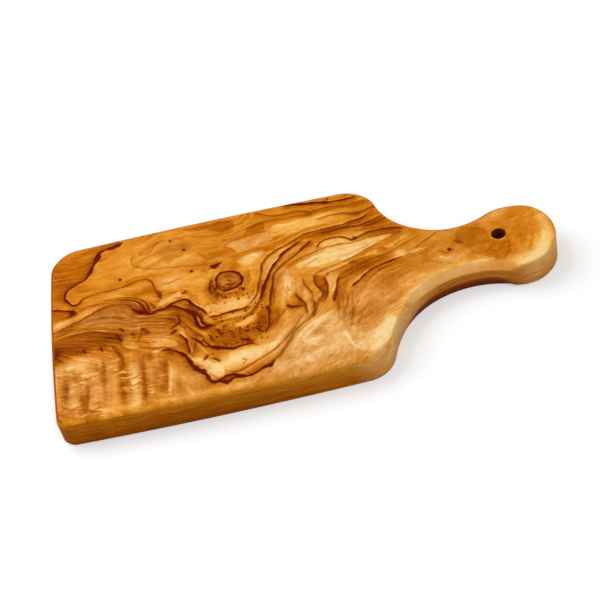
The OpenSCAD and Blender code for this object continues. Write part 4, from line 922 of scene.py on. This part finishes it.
verts, faces, edges = boardSurface(board)
print("board surface:", len(verts), "points,", 2 * len(faces), "triangles")
values = figureAt(figure, verts, board["thick"])
values.update(edges)
growthSpan = (values["growth"].min(), values["growth"].max())
print("figure worked out:", len(figure["veins"]), "veins, growth from %.0f to %.0f mm" % growthSpan)
paddle = bpy.data.objects.new("paddleBoard", makeMesh("paddleBoard", verts * mm, faces))
bpy.context.scene.collection.objects.link(paddle)
addAttributes(paddle.data, values)


def addNode(tree, kind, **settings):
    n = tree.nodes.new(kind)
    for key, value in settings.items():
        setattr(n, key, value)
    return n


def feed(tree, socket, value):   # a number, a colour or another node's output
    if isinstance(value, bpy.types.NodeSocket):
        tree.links.new(value, socket)
    else:
        socket.default_value = value


def calc(tree, op, *values, clamp=False):
    n = addNode(tree, "ShaderNodeMath", operation=op, use_clamp=clamp)
    for i, v in enumerate(values):
        feed(tree, n.inputs[i], v)
    return n.outputs[0]


def spread(tree, value, lo, hi, outLo, outHi):   # lo to hi, carried to outLo to outHi on an S curve
    n = addNode(tree, "ShaderNodeMapRange", interpolation_type="SMOOTHSTEP")
    for i, v in enumerate((value, lo, hi, outLo, outHi)):
        feed(tree, n.inputs[i], v)
    return n.outputs[0]


def readAttribute(tree, name, output="Fac"):
    return addNode(tree, "ShaderNodeAttribute", attribute_name=name).outputs[output]


def joined(tree, x, y, z):
    n = addNode(tree, "ShaderNodeCombineXYZ")
    for i, v in enumerate((x, y, z)):
        feed(tree, n.inputs[i], v)
    return n.outputs[0]


def noise(tree, vector, scale, detail=2.0, rough=.5):
    n = addNode(tree, "ShaderNodeTexNoise")
    feed(tree, n.inputs["Vector"], vector)
    feed(tree, n.inputs["Scale"], scale)
    feed(tree, n.inputs["Detail"], detail)
    feed(tree, n.inputs["Roughness"], rough)
    return n.outputs["Fac"]


def mixed(tree, share, a, b):   # colour a, going over to b by a share
    n = addNode(tree, "ShaderNodeMix", data_type="RGBA", blend_type="MIX")
    feed(tree, n.inputs[0], share)
    feed(tree, n.inputs[6], a)
    feed(tree, n.inputs[7], b)
    return n.outputs[2]


def ramp(tree, value, stops):
    n = addNode(tree, "ShaderNodeValToRGB")
    e = n.color_ramp.elements
    while len(e) < len(stops):
        e.new(0.5)
    for i, (at, colour) in enumerate(stops):
        e[i].position, e[i].color = at, rgb(*colour)
    feed(tree, n.inputs[0], value)
    return n.outputs[0]


def rgb(r, g, b):   # screen values 0 to 255 as linear light
    c = np.array([r, g, b]) / 255
    return (*np.where(c <= .04045, c / 12.92, ((c + .055) / 1.055) ** 2.4), 1.0)


# Colours by tone from dark to pale, as screen values
olive = {
    "heart": [(0, (78, 22, 0)), (.16, (124, 50, 0)), (.32, (164, 78, 0)), (.46, (194, 104, 0)),
              (.60, (221, 134, 26)), (.74, (243, 164, 58)), (.87, (254, 190, 94)), (1, (255, 216, 136))],
    "sapwood": [(0, (96, 44, 4)), (.32, (170, 94, 18)), (.5, (202, 128, 46)), (.66, (228, 158, 80)),
                (.82, (247, 188, 114)), (1, (255, 220, 156))],
    "wall": [(0, (96, 38, 0)), (.3, (152, 74, 0)), (.5, (180, 94, 0)), (.75, (214, 134, 24)),
             (1, (244, 180, 80))],
    "paleWall": [(0, (128, 64, 8)), (.3, (196, 124, 40)), (.5, (226, 158, 78)), (.75, (244, 186, 112)),
                 (1, (255, 212, 150))],
    "bevel": [(0, (160, 80, 16)), (.3, (208, 124, 44)), (.55, (238, 154, 68)), (.8, (253, 174, 88)),
              (1, (255, 200, 122))],
    # foot is the colour of painted shade: at the foot of the walls, in the finger relief under the neck and
    # inside the hole
    "vein": (98, 14, 0), "veinEdge": (146, 60, 0), "foot": (116, 32, 0),
    # buds of the burl: how many to a millimetre, least radius, how much more the largest have
    "buds": [(.25, -.05, .36), (.50, -.08, .35)],
    # growth bands: spacing in millimetres, fall of tone across one, depth of its dark line, seed
    "bands": [(8.0, .20, .12, 3.1), (3.2, .14, .15, 8.7)],
    # how much each layer of the grain moves the tone; bars and ripples, the curl, are partly painted sheen
    "hair": -.22, "lines": .26, "fibre": .24, "grit": .14, "mottle": .90, "crinkle": .60, "crease": .13,
    "bars": .45, "ripples": .44, "echo": .085, "halo": -.08,
    "roughness": (.42, .58), "gloss": .02, "bump": .25, "bumpDepth": .00025,
}


# Oiled olive wood: a tone picked from the figure, growth bands, fibres and curl, then veins, spots, buds and
# pores on top, and last the walls with their bevel and foot
def oliveWood(o, veinLayers, zoneLayers):
    mat = bpy.data.materials.new("oiledOlive")
    mat.use_nodes = True
    t = mat.node_tree
    t.nodes.clear()
    coords = addNode(t, "ShaderNodeTexCoord").outputs["Object"]
    size = addNode(t, "ShaderNodeVectorMath", operation="SCALE")
    feed(t, size.inputs[0], coords)
    size.inputs["Scale"].default_value = 1 / mm
    place = size.outputs[0]
    xyz = addNode(t, "ShaderNodeSeparateXYZ")
    feed(t, xyz.inputs[0], place)
    x, y, z = xyz.outputs
    growth, sap, burl, curl = (readAttribute(t, n) for n in ("growth", "sap", "burl", "curl"))
    flank, low, pale, bevel = (readAttribute(t, n) for n in ("flank", "low", "pale", "bevel"))

    def times(a, b):
        return calc(t, "MULTIPLY", a, b)

    def plus(a, b, share=1.0):   # a + share * b
        return calc(t, "MULTIPLY_ADD", b, share, a)

    def centred(a):
        return calc(t, "SUBTRACT", a, .5)

    # whatever follows the grain is worked out on the growth sheet, bent a little by noise
    wander = centred(noise(t, place, .05, 2))
    fine = noise(t, place, .75, 3, .6)
    slip = plus(times(centred(noise(t, place, .22, 2)), 1.3), centred(fine), .7)
    ragged = plus(slip, centred(noise(t, place, .12, 4, .68)), 7.0)
    tone = readAttribute(t, "tone")
    for k in range(zoneLayers):
        part = addNode(t, "ShaderNodeSeparateXYZ")
        feed(t, part.inputs[0], readAttribute(t, "zone%d" % k, "Vector"))
        inside = spread(t, calc(t, "ADD", part.outputs[0], ragged), -.5, .5, 1, 0)
        tone = plus(tone, times(inside, part.outputs[1]))
        sap = calc(t, "MULTIPLY_ADD", inside, part.outputs[2], sap, clamp=True)
    g = plus(plus(plus(growth, times(wander, plus(6.0, burl, 5.0))), ragged, .55), centred(fine), .6)
    sx, sy = times(x, .018), times(y, .018)
    handle = spread(t, x, 62, 92, 0, 1)
    calm = times(times(plus(1.0, curl, -.75), plus(1.0, sap, -.65)), plus(1.0, handle, -.6))
    soft = calc(t, "MAXIMUM", sap, times(handle, .45))

    # growth bands: tone rises across a band to a dark line, then drops back
    for width, fall, line, seed in o["bands"]:
        uneven = noise(t, joined(t, times(g, .5 / width), sx, seed), 1.0, 1)
        saw = calc(t, "FRACT", plus(calc(t, "DIVIDE", g, width), uneven, 3.0))
        shown = times(spread(t, noise(t, joined(t, x, y, seed), .03, 2), .38, .6, .1, 1), calm)
        mark = times(spread(t, saw, .86, .97, 0, 1), -line)
        tone = plus(tone, times(plus(mark, centred(saw), fall), shown))
    lines = noise(t, joined(t, times(g, .5), sx, sy), 1.0, 4, .65)
    fibre = noise(t, joined(t, times(g, 1.9), times(x, .07), times(y, .07)), 1.0, 3, .6)
    grit = noise(t, place, 1.5, 2, .6)
    hair = calc(t, "ABSOLUTE", centred(noise(t, joined(t, times(growth, .5), sx, sy), 1.0, 2, .5)))
    striped = times(spread(t, x, -98, -82, 1, .2), spread(t, y, 12, 24, 1, .25))
    tone = plus(tone, times(times(spread(t, hair, .0, .05, 1, 0), plus(.3, calm, .7)), striped), o["hair"])
    tone = plus(tone, times(centred(lines), calm), o["lines"])
    tone = plus(tone, times(centred(fibre), plus(.35, calm, .65)), o["fibre"])
    tone = plus(tone, centred(grit), o["grit"])
    tone = plus(tone, times(centred(noise(t, place, .09, 5, .66)), plus(.30, soft, .60)), o["mottle"])

    # sapwood: crinkles and bright creases that lie at a slant
    along, across = plus(times(x, .87), y, .5), plus(times(y, .87), x, -.5)
    folds = joined(t, times(along, .07), plus(times(across, .22), wander, 4.0), times(z, .2))
    crinkle = noise(t, folds, 1.0, 4, .66)
    soft = times(soft, spread(t, x, -96, -62, .3, 1))
    tone = plus(tone, times(centred(crinkle), soft), o["crinkle"])
    crease = noise(t, joined(t, times(along, .035), plus(times(across, .10), wander, 3.0), 11.0), 1.0, 2, .5)
    crease = spread(t, calc(t, "ABSOLUTE", centred(crease)), .0, .022, 1, 0)
    tone = plus(tone, times(crease, times(soft, spread(t, curl, .1, .4, 1, 0))), o["crease"])

    # curl: bars across the grain, broken by short bright ripples; partly the wood's curl figure, partly
    # painted sheen standing in for its shimmer
    wave = noise(t, joined(t, times(x, .13), times(y, .05), 5.0), 1.0, 2)
    bars = noise(t, joined(t, times(x, .17), times(y, .018), 0.0), 1.0, 3, .6)
    ripples = noise(t, joined(t, times(x, .09), plus(times(y, .42), wave, 3.0), 3.0), 1.0, 3, .6)
    tone = plus(tone, times(centred(bars), curl), o["bars"])
    rippleSheen = calc(t, "SUBTRACT", spread(t, ripples, .46, .66, 0, 1), .3)
    shown = spread(t, noise(t, joined(t, x, y, 7.0), .05, 2), .45, .62, .15, 1)
    tone = plus(tone, times(rippleSheen, times(shown, curl)), o["ripples"])

    # veins: dark within the half width, on an edge that wanders; one side darker, the other paler, with faint
    # echoes of the line beside it
    swell = spread(t, noise(t, place, .16, 2), .3, .7, .7, 1.5)
    core = None
    for k in range(veinLayers):
        part = addNode(t, "ShaderNodeSeparateXYZ")
        feed(t, part.inputs[0], readAttribute(t, "vein%d" % k, "Vector"))
        d, depth = calc(t, "ADD", part.outputs[0], slip), part.outputs[2]
        dist = calc(t, "ABSOLUTE", d)
        width = times(calc(t, "ABSOLUTE", part.outputs[1]), swell)
        within = calc(t, "DIVIDE", calc(t, "SUBTRACT", width, dist), plus(.18, width, .3))
        inside = calc(t, "ADD", within, .5, clamp=True)
        layer = times(inside, depth)
        core = layer if core is None else calc(t, "MAXIMUM", core, layer)
        beside = times(depth, calc(t, "POWER", .57, dist))
        echo = times(depth, calc(t, "POWER", .70, dist))
        oneSided = calc(t, "GREATER_THAN", part.outputs[1], 0.0)
        lean = plus(-.07, plus(.07, spread(t, d, -.3, .3, -.15, .09)), oneSided)
        tone = plus(tone, times(beside, lean))
        tone = plus(tone, times(echo, calc(t, "COSINE", plus(times(dist, 3.7), wander, 9.0))), o["echo"])
    spot = spread(t, plus(readAttribute(t, "spot"), slip, .6), -.5, .5, 1, 0)
    core = calc(t, "MAXIMUM", core, spot)
    tone = plus(tone, readAttribute(t, "halo"), o["halo"])

    # buds of the burl: dark specks of many sizes, fewer in pale wood
    for scale, least, reach in o["buds"]:
        bud = addNode(t, "ShaderNodeTexVoronoi", feature="F1", voronoi_dimensions="2D")
        feed(t, bud.inputs["Vector"], joined(t, plus(x, slip, .9), plus(y, fine, 1.6), z))
        bud.inputs["Scale"].default_value = scale
        pick = addNode(t, "ShaderNodeSeparateColor")
        feed(t, pick.inputs[0], bud.outputs["Color"])
        beyond = calc(t, "SUBTRACT", bud.outputs["Distance"], plus(least, pick.outputs[0], reach))
        buds = times(spread(t, beyond, -.05, .05, 1, 0), spread(t, burl, .12, .45, 0, .9))
        buds = times(buds, spread(t, tone, .58, .80, 1, .1))
        core = calc(t, "MAXIMUM", core, buds)

    # pores: short dark dashes that lie along the growth lines
    pore = addNode(t, "ShaderNodeTexVoronoi", feature="F1")
    feed(t, pore.inputs["Vector"], joined(t, times(growth, 1.3), times(x, .38), times(y, .38)))
    pore.inputs["Scale"].default_value = 1.0
    pores = spread(t, pore.outputs["Distance"], .10, .20, .3, 0)

    colour = mixed(t, sap, ramp(t, tone, o["heart"]), ramp(t, tone, o["sapwood"]))
    veinTone = mixed(t, spread(t, core, .35, .95, 0, 1), rgb(*o["veinEdge"]), rgb(*o["vein"]))
    colour = mixed(t, times(core, .97), colour, veinTone)
    colour = mixed(t, pores, colour, rgb(*o["veinEdge"]))

    # walls: deep amber with streaks along them, paler by the handle, lighter at the top than at the foot as
    # painted shade that deepens towards the table
    layered = joined(t, plus(times(z, .45), wander, 3.0), sx, plus(times(y, .22), wander, 2.0))
    streaks = noise(t, layered, 1.0, 4, .65)
    rise = plus(spread(t, x, -70, 40, -.05, .11), spread(t, x, 50, 80, 0, -.12))
    level = plus(plus(plus(plus(rise, -.11), tone, .22), z, .016), streaks, .74)
    golden = times(spread(t, x, 60, 90, 0, .85), spread(t, x, 138, 158, 1, 0))
    pale = times(pale, plus(1.0, golden, -1.0))
    wall = mixed(t, pale, ramp(t, level, o["wall"]), ramp(t, level, o["paleWall"]))
    wall = mixed(t, times(core, .6), wall, rgb(*o["veinEdge"]))
    # the bevel starts from the wall's level with its painted shade by height, lighter still as it rises and
    # darker towards the knob
    sanded = plus(plus(level, z, .01), spread(t, x, 100, 150, .08, -.34))
    wall = mixed(t, bevel, wall, ramp(t, sanded, o["bevel"]))
    # painted shade: the foot colour darkens the foot of the walls, the finger relief under the neck and the
    # inside of the hole
    wall = mixed(t, times(low, .95), wall, rgb(*o["foot"]))
    # the wall's colour starts higher on the eased edge on the far side and at the square end, as painted
    # shade where those edges turn away from view
    start = calc(t, "MINIMUM", spread(t, y, -70, 40, .70, .22), spread(t, x, -172, -166, .22, .66))
    edge = calc(t, "DIVIDE", calc(t, "SUBTRACT", plus(flank, slip, .06), start), .15, clamp=True)
    onBevel = times(spread(t, plus(bevel, slip, .25), .2, .9, 0, 1), .72)
    onWall = calc(t, "MAXIMUM", times(edge, .95), calc(t, "MAXIMUM", low, onBevel))
    colour = mixed(t, onWall, colour, wall)
    # painted shade: a dark line along the eased edge on the far side and at the square end
    line = times(spread(t, flank, .2, .42, 0, 1), spread(t, flank, .5, .8, 1, 0))   # a dark line on that edge
    rim = times(line, spread(t, start, .3, .6, .8, 0))
    colour = mixed(t, rim, colour, rgb(*o["veinEdge"]))

    shader = addNode(t, "ShaderNodeBsdfPrincipled")
    shader.inputs["Specular IOR Level"].default_value = o["gloss"]
    feed(t, shader.inputs["Base Color"], colour)
    feed(t, shader.inputs["Roughness"], spread(t, plus(times(fibre, .6), fine, .4), .3, .7, *o["roughness"]))
    bump = addNode(t, "ShaderNodeBump")
    bump.inputs["Strength"].default_value = o["bump"]
    bump.inputs["Distance"].default_value = o["bumpDepth"]
    feed(t, bump.inputs["Height"], plus(plus(fibre, pores, -1.2), core, -.5))
    feed(t, shader.inputs["Normal"], bump.outputs[0])
    end = addNode(t, "ShaderNodeOutputMaterial")
    t.links.new(shader.outputs[0], end.inputs["Surface"])
    return mat


paddle.data.materials.append(oliveWood(olive, figure["veinLayers"], figure["zoneLayers"]))
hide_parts("board")
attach(paddle, "root")
print("board made, with its olive wood")

studio = {
    "floor": (.61, .625, .63), "floorLift": .465, "floorHalf": 6.0, "world": .40,
    "key": {"place": (-.75, .55, 1.15), "size": 1.1, "power": 14.5},
    "fill": {"place": (.7, -.9, .9), "size": 1.4, "power": 4.5},
}


# Pale floor: plain grey that takes the shadow, lifted to white for the camera and for reflections
def paleFloor(s):
    corners = s["floorHalf"] * np.array([[-1, -1, 0], [1, -1, 0], [1, 1, 0], [-1, 1, 0]])
    mesh = makeMesh("floor", corners, np.array([[0, 1, 2, 3]]))
    floor = bpy.data.objects.new("floor", mesh)
    bpy.context.scene.collection.objects.link(floor)
    mat = bpy.data.materials.new("paleFloor")
    mat.use_nodes = True
    t = mat.node_tree
    t.nodes.clear()
    matt = addNode(t, "ShaderNodeBsdfDiffuse")
    matt.inputs["Color"].default_value = (*s["floor"], 1)
    lift = addNode(t, "ShaderNodeEmission")
    rays = addNode(t, "ShaderNodeLightPath").outputs
    bounced = calc(t, "MAXIMUM", rays["Is Glossy Ray"], rays["Is Transmission Ray"])
    seen = calc(t, "MAXIMUM", rays["Is Camera Ray"], bounced)
    feed(t, lift.inputs["Strength"], calc(t, "MULTIPLY", seen, s["floorLift"]))
    both = addNode(t, "ShaderNodeAddShader")
    t.links.new(matt.outputs[0], both.inputs[0])
    t.links.new(lift.outputs[0], both.inputs[1])
    t.links.new(both.outputs[0], addNode(t, "ShaderNodeOutputMaterial").inputs["Surface"])
    mesh.materials.append(mat)


def softLamp(name, s):   # a square lamp that faces the board
    lamp = bpy.data.lights.new(name, "AREA")
    lamp.size, lamp.energy = s["size"], s["power"]
    o = bpy.data.objects.new(name, lamp)
    o.location = s["place"]
    o.rotation_mode = "QUATERNION"
    o.rotation_quaternion = (-Vector(s["place"])).to_track_quat("-Z", "Y")
    bpy.context.scene.collection.objects.link(o)


paleFloor(studio)
softLamp("key", studio["key"])
softLamp("fill", studio["fill"])
world = bpy.data.worlds.new("softRoom")
world.use_nodes = True
world.node_tree.nodes["Background"].inputs["Color"].default_value = (1, 1, 1, 1)
world.node_tree.nodes["Background"].inputs["Strength"].default_value = studio["world"]
bpy.context.scene.world = world
print("floor, lamps and world set")

camera = {
    "lens": 90.0, "sensor": 36.0, "azimuth": 2.781, "elevation": 46.275, "roll": -14.575,
    "target": (-3.833, 4.064, 0.0), "distance": 1033.6,
}


# Camera on a sphere round its target, looking in, then rolled about its own axis
def setCamera(c):
    az, el, roll = (math.radians(c[k]) for k in ("azimuth", "elevation", "roll"))
    back = np.array([math.sin(az) * math.cos(el), -math.cos(az) * math.cos(el), math.sin(el)])
    right = np.array([math.cos(az), math.sin(az), 0.0])
    up = np.cross(back, right)
    r = math.cos(roll) * right + math.sin(roll) * up
    u = -math.sin(roll) * right + math.cos(roll) * up
    at = (np.array(c["target"]) + back * c["distance"]) * mm
    data = bpy.data.cameras.new("camera")
    data.lens, data.sensor_width = c["lens"], c["sensor"]
    o = bpy.data.objects.new("camera", data)
    o.matrix_world = Matrix([[*row, p] for row, p in zip(np.c_[r, u, back], at)] + [[0, 0, 0, 1]])
    bpy.context.scene.collection.objects.link(o)
    bpy.context.scene.camera = o


setCamera(camera)
bpy.context.scene.view_settings.view_transform = "Standard"
bpy.context.view_layer.update()
